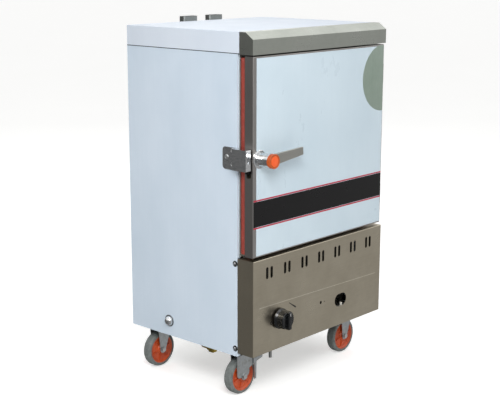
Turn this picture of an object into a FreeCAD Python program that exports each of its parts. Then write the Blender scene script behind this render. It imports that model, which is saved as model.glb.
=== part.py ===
import FreeCAD
import Part
import math
import os

# Gas rice steamer: a sheet steel cabinet on four swivel casters, with one door,
# a water tank over bar burners, two flues up the back and a knob for the gas.
# Everything is drawn in the cabinet's own frame: x runs from left to right about
# the middle, y runs back from the front edge of the side panels, and z runs up
# from the underside of the side panels. The last lines stand it on the floor.
# All lengths are in millimetres.

# Cabinet
cabinet_width = 700.0
side_depth = 510.0
side_height = 997.6
sheet = 1.2
fold_width = 15.0
fold_radius = 2.5
side_edge_round = 0.96
cover_seam = 1.0
cover_height = 67.1
cover_front_reach = 11.0
rear_vent_count = 5
rear_vent_pitch = 24.0
rear_vent_width = 9.0
rear_vent_height = 64.0
rear_vent_z = 110.0
rear_vent_middle = 230.0

# Front trim above the door
visor_reach = 68.0
visor_overhang = 2.0
visor_drop = 3.0
visor_face_height = 48.4
visor_bevel_depth = 31.0
visor_sheet = 1.5

# Lower panel
panel_reach = 70.0
panel_bottom = 12.0
panel_door_gap = 10.0
panel_low_fold = 19.0
panel_tab_length = 22.0
panel_tab_gap = 0.3
panel_frame_gap = 2.0
vent_count = 7
vent_side_margin = 79.1
vent_below_top = 50.0
vent_slot_width = 12.0
vent_slot_height = 40.0
vent_slot_spacing = 22.0
peep_x = 114.0
peep_z = 105.0
peep_width = 66.0
peep_height = 46.0
torch_hole_x = 2.0
torch_hole_radius = 5.5
pin_hole_x = 22.0
pin_hole_radius = 2.0
torch_hole_z = 120.0

# Door
door_gap = 3.0
door_bottom = 346.0
door_below_side_top = 6.6
door_front = 65.0
door_depth = 35.0
door_sheet = 1.2
door_fold = 12.0
door_liner_inset = 7.0
door_liner_step = 10.0
door_liner_round = 6.0
door_liner_border = 62.0
gasket_inset = 6.0
gasket_width = 20.0
gasket_seal_gap = 0.3
gasket_radius = 5.0

# Door frame around the chamber mouth
frame_reach = 6.0
frame_sheet = 1.5
frame_side_margin = 8.0
frame_below_door = 5.0
frame_top_gap = 0.2
mouth_inside_chamber = 4.0
mouth_above_door_bottom = 26.0
mouth_below_chamber_top = 14.0
frame_lip_depth = 14.0

# Steam chamber and water tank
chamber_side_room = 40.0
chamber_front = 16.0
chamber_rear_room = 58.0
chamber_top_room = 21.6
liner_sheet = 1.2
tank_side_margin = 14.0
tank_front_margin = 8.0
tank_rear_margin = 12.0
tank_depth = 146.0
tank_sheet = 1.5
baffle_end_lap = 4.0
baffle_side_gap = 0.5
baffle_sheet = 1.2
baffle_columns = 9
baffle_rows = 4
baffle_slot_length = 62.0
baffle_slot_width = 9.0

# Tray racks
tray_levels = 6
first_tray_above_rim = 52.0
last_tray_below_top = 103.0
runner_ledge = 20.0
runner_lip = 14.0
runner_sheet = 1.5
runner_front_margin = 14.0
runner_rear_margin = 12.0
upright_width = 25.0
upright_thickness = 4.0
upright_inset = 40.0

# Insulation
board_clearance = 0.2
top_board_thickness = 60.0
top_board_margin = 1.0

# Base rails, open upward like trays
rail_side_inset = 20.0
rail_width = 78.0
rail_height = 40.0
rail_sheet = 3.0
rail_floor = 5.0
rail_front_reach = 8.0
rail_rear_inset = 10.0
cross_rail_width = 30.0

# Burner compartment
burner_tray_side_inset = 80.0
burner_tray_front_reach = 5.0
burner_tray_rear_inset = 30.0
burner_tray_sheet = 1.2
burner_tray_lip = 8.0
air_slot_count = 9
air_slot_width = 14.0
air_slot_length = 90.0
shield_side_inset = 88.0
shield_front = 34.0
shield_rear_inset = 54.0
shield_sheet = 1.5
shield_fold = 12.0
burner_count = 3
burner_radius = 19.0
burner_throat_radius = 11.0
burner_wall = 2.0
burner_front = 42.0
burner_rear_gap = 32.0
burner_taper = 60.0
port_count = 14
port_width = 2.4
port_end_margin = 15.0
support_thickness = 3.0
support_foot = 12.0
support_overhang = 40.0
support_from_front = 60.0
support_from_back = 50.0
support_notch_gap = 0.2
manifold_radius = 11.0
manifold_y = 18.0
manifold_overhang = 40.0
manifold_knob_gap = 30.0
jet_radius = 5.0
jet_gap = 3.0

# Gas valve, spindle and knob
knob_from_left = 130.0
knob_z = 118.0
valve_width = 40.0
valve_back = 18.0
valve_front = 45.0
valve_corner = 4.0
bonnet_radius = 14.0
plunger_bore_radius = 10.0
plunger_stop_gap = 2.0
plunger_radius = 9.7
plunger_length = 6.0
plunger_front = 62.0
push_travel = 4.0
spindle_radius = 5.0
spindle_back = 31.0
spindle_front = 104.0
spindle_bore_end = 25.0
spindle_ring_width = 1.7
spindle_ring_reach = 2.0
running_clearance = 0.05
tight_clearance = 0.02
panel_spindle_clearance = 3.0
knob_panel_gap = 6.0
knob_skirt_radius = 35.0
knob_skirt_height = 8.0
knob_skirt_edge = 3.2
knob_skirt_bevel = 3.0
knob_body_radius = 31.0
knob_body_height = 26.0
knob_body_taper = 2.0
knob_face_round = 2.0
knob_neck = 1.5
knob_grip_width = 16.0
knob_grip_length = 62.0
knob_grip_height = 10.0
knob_grip_round = 4.0
gas_tail_radius = 5.5
gas_tail_wall = 1.2
gas_tail_drop = 41.0
gas_nut_radius = 11.0
gas_nut_height = 12.0
link_pipe_radius = 7.0
link_bend = 16.0

# Spark electrode behind the peep hole
spark_y = 52.0
spark_rod_radius = 5.0
spark_rod_length = 44.0
spark_height = 92.0
spark_bracket_half = 12.0
spark_bracket_sheet = 2.0
spark_foot = 16.0
spark_hole_gap = 0.1
spark_wire_radius = 1.5
spark_wire_length = 12.0

# Water pipes
water_pipe_inset = 60.0
water_pipe_radius = 8.0
water_pipe_wall = 1.5
water_pipe_gap = 1.0
drain_y = 170.0
drain_drop = 28.0
drain_body_size = 24.0
drain_corner = 4.0
barb_length = 38.0
barb_radius = 7.0
barb_bite = 1.6
barb_bore_radius = 4.0
barb_nut_radius = 10.0
barb_nut_length = 8.0
barb_ridges = 4
overflow_from_back = 191.0
overflow_z = 54.5
overflow_bend = 20.0
port_cap_radius = 17.5
port_cap_height = 19.0
port_flange_radius = 21.0
port_flange_thickness = 3.0
port_seat_gap = 0.2
port_seat_reach = 1.0
port_dome_steps = 6
port_dome_sweep = 65.0

# Flues
flue_width = 70.0
flue_depth = 28.0
flue_wall = 1.5
flue_corner = 8.0
flue_stand_off = 2.0
flue_middle = 28.0
flue_half_spacing = 66.0
flue_bottom = 92.0
flue_top_rise = 17.0
flue_stub_width = 52.0
flue_stub_height = 60.0
flue_stub_below_tank = 50.5
flue_stub_clearance = 0.5
strap_shares = (0.29, 0.64, 0.96)
strap_width = 25.0
strap_sheet = 1.5
strap_margin = 10.0
strap_foot = 20.0

# Hinges
hinge_reach = 47.0
hinge_from_end = 104.0
knuckle_radius = 8.0
knuckle_height = 34.0
knuckle_gap = 0.3
hinge_pin_radius = 4.0
hinge_pin_fit = 0.01
hinge_pin_tip = 1.0
hinge_pin_head = 4.0
hinge_pin_head_radius = 6.5
hinge_plate = 3.5
hinge_plate_length = 58.0
hinge_screw_row = 26.0
hinge_screw_spacing = 22.0
hinge_screw_edge = 8.0
hinge_screw_radius = 4.5
hinge_screw_height = 2.4
door_leaf_plate = 2.5
door_leaf_half = 14.0

# Latch
latch_from_left = 33.5
latch_below_door_top = 324.0
rosette_radius = 30.0
rosette_height = 4.0
rosette_bevel = 3.0
shaft_radius = 8.0
shaft_back = 36.0
boss_radius = 22.0
boss_gap = 0.3
boss_front = 115.0
cap_radius = 23.5
cap_height = 15.0
cap_round = 4.0
lever_length = 160.5
lever_root_width = 38.0
lever_width = 26.0
lever_corner = 4.0
lever_edge_round = 1.6
lever_thickness = 8.0
lever_front = 114.0
lever_rise = 4.6
tongue_front = 53.0
tongue_thickness = 12.0
tongue_past_side = 7.0
tongue_tip_low = 46.0
tongue_tip_height = 8.0
tongue_hub_radius = 14.0
tongue_slot_low = 61.0
tongue_slot_high = 11.0
tongue_slot_clearance = 3.0
latch_room_width = 62.0
latch_room_low = 65.0
latch_room_high = 23.0
shell_hole_clearance = 1.0

# Keeper on the left side, its heights told from the latch shaft
keeper_plate = 4.0
keeper_plate_length = 60.0
keeper_low = 40.0
keeper_high = 33.0
keeper_block = 25.0
keeper_block_front = 60.0
keeper_block_low = 36.0
keeper_block_round = 3.0
keeper_corner = 12.0
pocket_depth = 21.5
pocket_low = 19.0
pocket_clearance = 0.5
keeper_hole_radius = 3.0
keeper_hole_depth = 4.2
keeper_hole_spacing = 20.0
keeper_hole_rise = 2.0
keeper_screw_near = 16.0
keeper_screw_far = 42.0
keeper_screw_rise = 22.5
keeper_screw_middle = 0.5
keeper_screw_radius = 5.0
keeper_screw_height = 2.6

# Panel screws on both sides
panel_screw_y = 9.0
panel_screw_from_low = 15.0
panel_screw_from_top = 19.0
panel_washer_radius = 10.0
panel_washer_edge = 0.9
panel_washer_thickness = 1.5
panel_screw_radius = 5.0
panel_screw_dome = 3.0

# Casters
caster_inset = 72.0
caster_front_y = 38.0
caster_rear_inset = 78.0
caster_trail = 20.0
wheel_radius = 62.5
wheel_width = 32.0
tread_thickness = 12.0
tread_round = 6.0
tread_bevel = 1.8
hub_width = 36.0
hub_dish = 4.0
hub_boss_radius = 16.0
hub_web_start = 20.0
hub_rim_land = 3.0
hub_rim_slope = 8.0
axle_radius = 5.0
caster_height = 155.0
caster_plate_width = 76.0
caster_plate_length = 90.0
caster_plate_thickness = 4.0
caster_bolt_radius = 6.5
caster_bolt_height = 5.0
caster_bolt_edge = 9.1
kingpin_radius = 6.0
kingpin_head_radius = 10.0
kingpin_head_height = 3.5
fork_head_radius = 27.0
fork_head_gap = 0.5
fork_head_height = 13.5
fork_head_flare = 4.0
fork_head_neck = 7.0
fork_head_bevel = 2.0
fork_top_sheet = 3.0
fork_leg_gap = 1.5
fork_leg_sheet = 3.0
fork_top_length = 62.0
fork_toe_radius = 13.0
axle_nut_radius = 9.0
axle_nut_height = 6.0
guard_half_width = 35.0
guard_rear_cut = 10.0
guard_below_axle = 1.5
guard_corner = 14.0
pedal_x = 52.0
pedal_z = 45.0
pedal_sheet = 3.0
pedal_gap = 0.4
pedal_pin_radius = 4.0
pedal_ear_radius = 9.0
pedal_bar_x = 70.0
pedal_bar_width = 18.0
pedal_tip_rise = 2.0
pedal_arm_root = 6.0
pedal_arm_tip = 4.0
pedal_arm_drop = 22.0

# How far a cut runs past a face, and how near counts as touching
over = 1.0
touch = 1e-6

# Places that follow from the sizes above
half_width = cabinet_width / 2
side_inner = half_width - sheet
cover_bottom = side_height + cover_seam
cover_top = cover_bottom + cover_height
lift = caster_height - rail_floor
axle_z = wheel_radius - lift
rail_top = rail_floor + rail_height
rail_outer_half = half_width - rail_side_inset
rail_inner_half = rail_outer_half - rail_width
rail_back = side_depth - rail_rear_inset
panel_top = door_bottom - panel_door_gap
tab_outer = side_inner - panel_tab_gap
door_top = side_height - door_below_side_top
door_back = door_front - door_depth
door_half = half_width - door_gap
chamber_half = half_width - chamber_side_room
chamber_back = side_depth - chamber_rear_room
chamber_top = side_height - chamber_top_room
frame_outer_half = half_width - frame_side_margin
mouth_half = chamber_half - mouth_inside_chamber
mouth_bottom = door_bottom + mouth_above_door_bottom
mouth_top = chamber_top - mouth_below_chamber_top
tank_rim = door_bottom
tank_floor = tank_rim - tank_depth
tank_half = chamber_half - tank_side_margin
tank_front = chamber_front + tank_front_margin
tank_back = chamber_back - tank_rear_margin
seat = tank_rim + tank_sheet
shield_half = half_width - shield_side_inset
shield_back = side_depth - shield_rear_inset
shield_bottom = rail_top + burner_tray_sheet
shield_top = tank_floor - tank_sheet
burner_back = shield_back - burner_rear_gap
knob_x = knob_from_left - half_width
manifold_end = -knob_x - manifold_knob_gap
burner_spacing = manifold_end - manifold_overhang
water_pipe_x = water_pipe_inset - half_width
overflow_y = side_depth - overflow_from_back
flue_near_face = side_depth + flue_stand_off
flue_centres = (flue_middle - flue_half_spacing, flue_middle + flue_half_spacing)
flue_stub_centre = shield_top - flue_stub_below_tank
hinge_x = half_width + knuckle_radius
hinge_heights = (door_bottom + hinge_from_end, door_top - hinge_from_end)
plunger_bore_end = plunger_front - plunger_length - push_travel - plunger_stop_gap
latch_x = latch_from_left - half_width
latch_z = door_top - latch_below_door_top
fork_leg_inner = hub_width / 2 + fork_leg_gap
fork_leg_outer = fork_leg_inner + fork_leg_sheet
fork_head_top = rail_floor - caster_plate_thickness - fork_head_gap
fork_top_low = fork_head_top - fork_head_height
caster_x = half_width - caster_inset
caster_rows = (("front", caster_front_y), ("rear", side_depth - caster_rear_inset))
caster_places = [
    (row + "_" + side, sign * caster_x, row_y)
    for row, row_y in caster_rows
    for side, sign in (("left", -1), ("right", 1))
]

parts = {}


def box(x_span, y_span, z_span):
    """A block between pairs of coordinates."""
    low = FreeCAD.Vector(x_span[0], y_span[0], z_span[0])
    return Part.makeBox(x_span[1] - x_span[0], y_span[1] - y_span[0], z_span[1] - z_span[0], low)


def around(centre, half):
    """The pair of coordinates that lie as far below and above a centre."""
    return (centre - half, centre + half)


def rod(start, direction, length, radius):
    """A round bar from a start point."""
    return Part.makeCylinder(radius, length, FreeCAD.Vector(*start), FreeCAD.Vector(*direction))


def prism(points, vector):
    """A flat outline, given as 3-D points, pushed along a vector."""
    corners = [FreeCAD.Vector(*point) for point in points]
    outline = Part.makePolygon(corners + corners[:1])
    return Part.Face(outline).extrude(FreeCAD.Vector(*vector))


def turned(profile, centre, direction):
    """A round piece from (radius, distance along the axis) points."""
    corners = [FreeCAD.Vector(radius, 0, along) for radius, along in profile]
    face = Part.Face(Part.makePolygon(corners + corners[:1]))
    solid = face.revolve(FreeCAD.Vector(0, 0, 0), FreeCAD.Vector(0, 0, 1), 360)
    turn = FreeCAD.Rotation(FreeCAD.Vector(0, 0, 1), FreeCAD.Vector(*direction))
    solid.Placement = FreeCAD.Placement(FreeCAD.Vector(*centre), turn)
    return solid


def obround(centre_x, centre_z, width, height, y_span):
    """A slot with round ends, cut along y, longer in x or in z."""
    radius = min(width, height) / 2
    reach_x = width / 2 - radius
    reach_z = height / 2 - radius
    core_x = reach_x if reach_x > 0 else radius
    core_z = reach_z if reach_z > 0 else radius
    slot = box(around(centre_x, core_x), y_span, around(centre_z, core_z))
    for sign in (-1, 1):
        end = (centre_x + sign * reach_x, y_span[0], centre_z + sign * reach_z)
        slot = slot.fuse(rod(end, (0, 1, 0), y_span[1] - y_span[0], radius))
    return slot.removeSplitter()


def bent_path(points, bend):
    """A wire of straight runs joined by arcs that touch them."""
    corners = [FreeCAD.Vector(*point) for point in points]
    edges = []
    last = corners[0]
    for index in range(1, len(corners) - 1):
        before = (corners[index - 1] - corners[index]).normalize()
        after = (corners[index + 1] - corners[index]).normalize()
        half_turn = (math.pi - before.getAngle(after)) / 2
        trim = bend * math.tan(half_turn)
        start = corners[index] + before * trim
        end = corners[index] + after * trim
        inward = (before + after).normalize()
        centre = corners[index] + inward * (bend / math.cos(half_turn))
        middle = centre - inward * bend
        edges.append(Part.LineSegment(last, start).toShape())
        edges.append(Part.Arc(start, middle, end).toShape())
        last = end
    edges.append(Part.LineSegment(last, corners[-1]).toShape())
    return Part.Wire(edges)


def swept_rod(points, bend, radius):
    """A solid round bar along a bent path."""
    path = bent_path(points, bend)
    start = FreeCAD.Vector(*points[0])
    direction = FreeCAD.Vector(*points[1]) - start
    ring = Part.Wire(Part.makeCircle(radius, start, direction))
    return path.makePipeShell([ring], True, True)


def pipe(points, bend, radius, wall):
    """A pipe with its bore along a bent path."""
    return swept_rod(points, bend, radius).cut(swept_rod(points, bend, radius - wall))


def soften(shape, radius, wanted):
    """Round the straight or curved edges that a test picks."""
    edges = [edge for edge in shape.Edges if wanted(edge)]
    return shape.makeFillet(radius, edges)


def edge_along(edge, axis):
    """True for a straight edge along one axis."""
    if len(edge.Vertexes) != 2 or not isinstance(edge.Curve, Part.Line):
        return False
    run = edge.Vertexes[1].Point - edge.Vertexes[0].Point
    return abs(abs(run[axis]) - run.Length) < touch


def group(shapes):
    """Separate solids that share one name."""
    return Part.makeCompound(shapes)


def mirrored_x(shape):
    """The same piece on the other side of the cabinet."""
    return shape.mirror(FreeCAD.Vector(0, 0, 0), FreeCAD.Vector(1, 0, 0))


def hexagon(centre, radius, height):
    """A six-sided nut or head that stands up along z."""
    points = []
    for index in range(6):
        angle = math.radians(60 * index)
        x = centre[0] + radius * math.cos(angle)
        y = centre[1] + radius * math.sin(angle)
        points.append((x, y, centre[2]))
    return prism(points, (0, 0, height))


def domed_head(radius, height, centre, direction):
    """A low screw head that is round in outline and domed on top."""
    profile = [(0.0, 0.0), (radius, 0.0), (radius * 0.8, height * 0.7), (radius * 0.4, height), (0.0, height)]
    return turned(profile, centre, direction)


def channel(x_span, y_span):
    """A rail folded like a tray, open at the top."""
    outside = box(x_span, y_span, (rail_floor, rail_top))
    inner_x = (x_span[0] + rail_sheet, x_span[1] - rail_sheet)
    inner_y = (y_span[0] + rail_sheet, y_span[1] - rail_sheet)
    inside = box(inner_x, inner_y, (rail_floor + rail_sheet, rail_top + over))
    return outside.cut(inside)


def build_base():
    """Rails under the cabinet and the plates of the casters."""
    side_rail = channel((-rail_outer_half, -rail_inner_half), (-rail_front_reach, rail_back))
    drain_hole = rod((water_pipe_x, drain_y, rail_floor - over), (0, 0, 1), rail_sheet + 2 * over,
                     water_pipe_radius + water_pipe_gap)
    parts["base_side_rails"] = group([side_rail.cut(drain_hole), mirrored_x(side_rail)])
    cross_x = (-rail_inner_half, rail_inner_half)
    front_rail = channel(cross_x, (-rail_front_reach, cross_rail_width - rail_front_reach))
    rear_rail = channel(cross_x, (rail_back - cross_rail_width, rail_back))
    parts["base_cross_rails"] = group([front_rail, rear_rail])
    parts["caster_plates"] = group([caster_plate(x, y) for name, x, y in caster_places])


def caster_plate(x, y):
    """The bolted top plate of one caster, with its kingpin."""
    plate_low = rail_floor - caster_plate_thickness
    half_x = caster_plate_width / 2
    half_y = caster_plate_length / 2
    plate = box(around(x, half_x), around(y, half_y), (plate_low, rail_floor))
    plate = soften(plate, caster_bolt_radius, lambda edge: edge_along(edge, 2))
    for sign_x in (-1, 1):
        for sign_y in (-1, 1):
            bolt_x = x + sign_x * (half_x - caster_bolt_edge)
            bolt_y = y + sign_y * (half_y - caster_bolt_edge)
            place = (bolt_x, bolt_y, plate_low - caster_bolt_height)
            plate = plate.fuse(hexagon(place, caster_bolt_radius, caster_bolt_height))
    pin_low = fork_top_low - kingpin_head_height - fork_head_gap
    plate = plate.fuse(rod((x, y, pin_low), (0, 0, 1), plate_low - pin_low, kingpin_radius))
    return plate.fuse(hexagon((x, y, pin_low), kingpin_head_radius, kingpin_head_height))


def build_side_panels():
    """The two outer side sheets with their folds."""
    outer = box((-half_width, fold_width - half_width), (0, side_depth - sheet), (0, side_height))
    inner_x = (-side_inner, fold_width - half_width + over)
    inside = box(inner_x, (sheet, side_depth - 2 * sheet), (sheet, side_height - sheet))
    rear_edge = box((-half_width, -side_inner), (side_depth - sheet, side_depth), (0, side_height))
    panel = outer.cut(inside).fuse(rear_edge).removeSplitter()
    panel = soften(panel, side_edge_round, outer_side_edge)
    tab_room = box(inner_x, (-over, sheet), (panel_bottom - panel_tab_gap, panel_top + panel_tab_gap))
    panel = panel.cut(tab_room).removeSplitter()
    parts["right_side_panel"] = mirrored_x(panel)
    port_hole = rod((-half_width - over, overflow_y, overflow_z), (1, 0, 0), sheet + 2 * over,
                    water_pipe_radius + water_pipe_gap)
    parts["left_side_panel"] = panel.cut(port_hole)


def outer_side_edge(edge):
    """True for the front and top fold lines of the left side panel."""
    on_face = edge.BoundBox.XMax < touch - half_width
    along_front = edge_along(edge, 2) and edge.BoundBox.YMax < touch
    along_top = edge_along(edge, 1) and edge.BoundBox.ZMin > side_height - touch
    return on_face and (along_front or along_top)


def flue_hole(centre, y_span):
    """The cutter for the room a flue's stub passes through a sheet."""
    half_x = flue_stub_width / 2 + flue_stub_clearance
    half_z = flue_stub_height / 2 + flue_stub_clearance
    return box(around(centre, half_x), y_span, around(flue_stub_centre, half_z))


def build_rear_panel():
    """The flat rear sheet with the flue holes and low air vents."""
    span_y = (side_depth - sheet, side_depth)
    cut_y = (span_y[0] - over, span_y[1] + over)
    panel = box((-side_inner, side_inner), span_y, (0, side_height))
    for centre in flue_centres:
        panel = panel.cut(flue_hole(centre, cut_y))
    for middle in (-rear_vent_middle, rear_vent_middle):
        for place in range(rear_vent_count):
            x = middle + (place - (rear_vent_count - 1) / 2) * rear_vent_pitch
            panel = panel.cut(obround(x, rear_vent_z, rear_vent_width, rear_vent_height, cut_y))
    parts["rear_panel"] = panel


def build_top_cover():
    """The top cover, a tray turned over, with folded skirts."""
    outside = box((-half_width, half_width), (-cover_front_reach, side_depth), (cover_bottom, cover_top))
    outside = soften(outside, fold_radius, lambda edge: edge.BoundBox.ZMin > cover_top - touch)
    inside = box(
        (-side_inner, side_inner),
        (sheet - cover_front_reach, side_depth - sheet),
        (cover_bottom + sheet, cover_top - sheet),
    )
    mouth_x = (fold_width - half_width, half_width - fold_width)
    mouth_y = (sheet - cover_front_reach, side_depth - fold_width)
    mouth = box(mouth_x, mouth_y, (cover_bottom - over, cover_bottom + sheet + over))
    seat_ring = box((-side_inner, side_inner), (sheet, side_depth - 2 * sheet), (side_height, cover_bottom))
    seat_ring = seat_ring.cut(box(mouth_x, (0, mouth_y[1]), (side_height - over, cover_bottom + over)))
    parts["top_cover"] = outside.cut(inside).cut(mouth).fuse(seat_ring).removeSplitter()


def build_visor():
    """The bevelled steel nose above the door, folded from one sheet."""
    half = half_width + visor_overhang
    outline = visor_outline(0.0, cover_front_reach)
    outside = prism([(-half, y, z) for y, z in outline], (2 * half, 0, 0))
    hollow = visor_outline(visor_sheet, cover_front_reach - over)
    inside = prism([(visor_sheet - half, y, z) for y, z in hollow], (2 * half - 2 * visor_sheet, 0, 0))
    parts["visor"] = outside.cut(inside)


def visor_outline(wall, back):
    """The visor's section in y and z, moved in by a wall and open at its back."""
    low = cover_bottom - visor_drop
    face_top = low + visor_face_height
    bevel = math.atan2(cover_top - face_top, visor_bevel_depth)
    top_shift = wall * math.tan(bevel / 2)
    knee_shift = wall * math.tan((math.pi / 2 - bevel) / 2)
    return [
        (-back, low + wall),
        (wall - visor_reach, low + wall),
        (wall - visor_reach, face_top - knee_shift),
        (visor_bevel_depth - visor_reach + top_shift, cover_top - wall),
        (-back, cover_top - wall),
    ]


def build_front_frame():
    """The folded frame that the door seals against."""
    frame_bottom = door_bottom - frame_below_door
    frame_top = cover_bottom - frame_top_gap
    outer = box((-frame_outer_half, frame_outer_half), (-frame_reach, 0), (frame_bottom, frame_top))
    lip_half = mouth_half + frame_sheet
    lip_z = (mouth_bottom - frame_sheet, mouth_top + frame_sheet)
    lip = box((-lip_half, lip_half), (-frame_reach, frame_lip_depth), lip_z)
    hollow_half = frame_outer_half - frame_sheet
    hollow_y = (frame_sheet - frame_reach, frame_lip_depth + over)
    hollow = box((-hollow_half, hollow_half), hollow_y, (frame_bottom + frame_sheet, frame_top - frame_sheet))
    mouth_y = (-frame_reach - over, frame_lip_depth + over)
    mouth = box((-mouth_half, mouth_half), mouth_y, (mouth_bottom, mouth_top))
    parts["front_frame"] = outer.cut(hollow.cut(lip)).fuse(lip).cut(mouth).removeSplitter()


def build_lower_panel():
    """The control panel under the door, with vents and the peep hole."""
    front_inside = sheet - panel_reach
    outside = box((-half_width, half_width), (-panel_reach, 0), (panel_bottom, panel_top))
    outside = soften(outside, fold_radius, lambda edge: edge.BoundBox.YMax < touch - panel_reach)
    inside = box((-side_inner, side_inner), (front_inside, over), (panel_bottom + sheet, panel_top - sheet))
    low_mouth = box((-side_inner, side_inner), (panel_low_fold - panel_reach, over),
                    (panel_bottom - over, panel_bottom + sheet + over))
    top_trim = box((-half_width - over, half_width + over), (-frame_reach - panel_frame_gap, over),
                   (panel_top - sheet, panel_top + over))
    panel = outside.cut(inside).cut(low_mouth).cut(top_trim)
    tab_inner = tab_outer - sheet
    span_z = (panel_bottom, panel_top - sheet)
    relief = box((-half_width - over, -tab_outer), (-sheet, over), (panel_bottom - over, panel_top))
    joggle = box((-side_inner, -tab_inner), (-2 * sheet, -sheet), span_z)
    tab = joggle.fuse(box((-tab_outer, -tab_inner), (-sheet, panel_tab_length), span_z))
    panel = panel.cut(relief).cut(mirrored_x(relief)).fuse(tab).fuse(mirrored_x(tab))
    parts["lower_panel"] = pierced(panel, (-panel_reach - over, front_inside + over)).removeSplitter()


def pierced(panel, cut_y):
    """The lower panel with its vent slots and round holes."""
    vent_z = panel_top - vent_below_top
    vent_pitch = (cabinet_width - 2 * vent_side_margin) / (vent_count - 1)
    for place in range(vent_count):
        middle = vent_side_margin - half_width + place * vent_pitch
        for x in around(middle, vent_slot_spacing / 2):
            panel = panel.cut(obround(x, vent_z, vent_slot_width, vent_slot_height, cut_y))
    panel = panel.cut(obround(peep_x, peep_z, peep_width, peep_height, cut_y))
    holes = [
        (torch_hole_x, torch_hole_z, torch_hole_radius),
        (pin_hole_x, torch_hole_z, pin_hole_radius),
        (knob_x, knob_z, spindle_radius + panel_spindle_clearance),
    ]
    for x, z, radius in holes:
        panel = panel.cut(rod((x, cut_y[0], z), (0, 1, 0), cut_y[1] - cut_y[0], radius))
    return panel


def build_chamber():
    """Liner, water tank, steam baffle and tray racks."""
    liner_half = chamber_half + liner_sheet
    liner_back = chamber_back + liner_sheet
    outside = box((-liner_half, liner_half), (chamber_front, liner_back), (seat, chamber_top + liner_sheet))
    inside = box((-chamber_half, chamber_half), (chamber_front - over, chamber_back), (seat - over, chamber_top))
    sill = box((-chamber_half, chamber_half), (chamber_front, chamber_front + liner_sheet),
               (seat, mouth_bottom - frame_sheet))
    parts["chamber_liner"] = outside.cut(inside).fuse(sill).removeSplitter()
    tank_outer = tank_half + tank_sheet
    tank = box((-tank_outer, tank_outer), (tank_front - tank_sheet, tank_back + tank_sheet),
               (tank_floor - tank_sheet, seat))
    rim = box((-liner_half, liner_half), (chamber_front, liner_back), (tank_rim, seat))
    water = box((-tank_half, tank_half), (tank_front, tank_back), (tank_floor, seat + over))
    tank = tank.fuse(rim).cut(water)
    for hole_y in (drain_y, overflow_y):
        start = (water_pipe_x, hole_y, tank_floor - tank_sheet - over)
        tank = tank.cut(rod(start, (0, 0, 1), tank_sheet + 2 * over, water_pipe_radius - water_pipe_wall))
    parts["water_tank"] = tank.removeSplitter()
    build_baffle()
    build_racks()


def build_baffle():
    """The slotted plate that lies over the water, between the rack uprights."""
    half_x = chamber_half - upright_thickness - baffle_side_gap
    front = tank_front - baffle_end_lap
    back = tank_back + baffle_end_lap
    plate = box((-half_x, half_x), (front, back), (seat, seat + baffle_sheet))
    step_x = 2 * half_x / (baffle_columns + 1)
    step_y = (back - front) / (baffle_rows + 0.5)
    slots = []
    for column in range(baffle_columns):
        span_x = around(step_x * (column + 1) - half_x, baffle_slot_width / 2)
        for row in range(baffle_rows):
            span_y = around(front + step_y * (row + 0.75), baffle_slot_length / 2)
            slots.append(box(span_x, span_y, (seat - over, seat + baffle_sheet + over)))
    parts["steam_baffle"] = plate.cut(group(slots))


def build_racks():
    """Six folded runners a side on two uprights."""
    runner_wall = upright_thickness - chamber_half
    runner_y = (chamber_front + runner_front_margin, chamber_back - runner_rear_margin)
    first_height = tank_rim + first_tray_above_rim
    last_height = chamber_top - last_tray_below_top
    tray_pitch = (last_height - first_height) / (tray_levels - 1)
    shapes = []
    for level in range(tray_levels):
        height = first_height + level * tray_pitch
        low = height - runner_sheet
        ledge_x = (runner_wall, runner_wall + runner_ledge)
        shapes.append(box(ledge_x, runner_y, (low, height)))
        shapes.append(box((runner_wall, runner_wall + runner_sheet), runner_y, (low, height + runner_lip)))
        shapes.append(box(ledge_x, (runner_y[1] - runner_sheet, runner_y[1]), (low, height + runner_lip)))
    for place in (runner_y[0] + upright_inset, runner_y[1] - upright_inset):
        shapes.append(box((-chamber_half, runner_wall), around(place, upright_width / 2),
                          (seat, last_height + 2 * runner_lip)))
    rack = shapes[0].fuse(shapes[1:]).removeSplitter()
    parts["tray_racks"] = group([rack, mirrored_x(rack)])


def build_insulation():
    """Boards between the liner and the outer sheets."""
    board_x = side_inner - board_clearance
    liner_outer = chamber_half + liner_sheet + board_clearance
    liner_back = chamber_back + liner_sheet
    side = box((-board_x, -liner_outer), (chamber_front, liner_back), (seat, chamber_top))
    rear_y = (liner_back + board_clearance, side_depth - 2 * sheet - board_clearance)
    rear = box((-board_x, board_x), rear_y, (seat, chamber_top))
    top_low = chamber_top + liner_sheet + board_clearance
    top_half = half_width - fold_width - top_board_margin
    top = box((-top_half, top_half), (chamber_front, side_depth - fold_width - top_board_margin),
              (top_low, top_low + top_board_thickness))
    parts["insulation_boards"] = group([side, mirrored_x(side), rear, top])


def burner_places():
    """Where the bars lie across the cabinet."""
    return [(place - (burner_count - 1) / 2) * burner_spacing for place in range(burner_count)]


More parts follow.
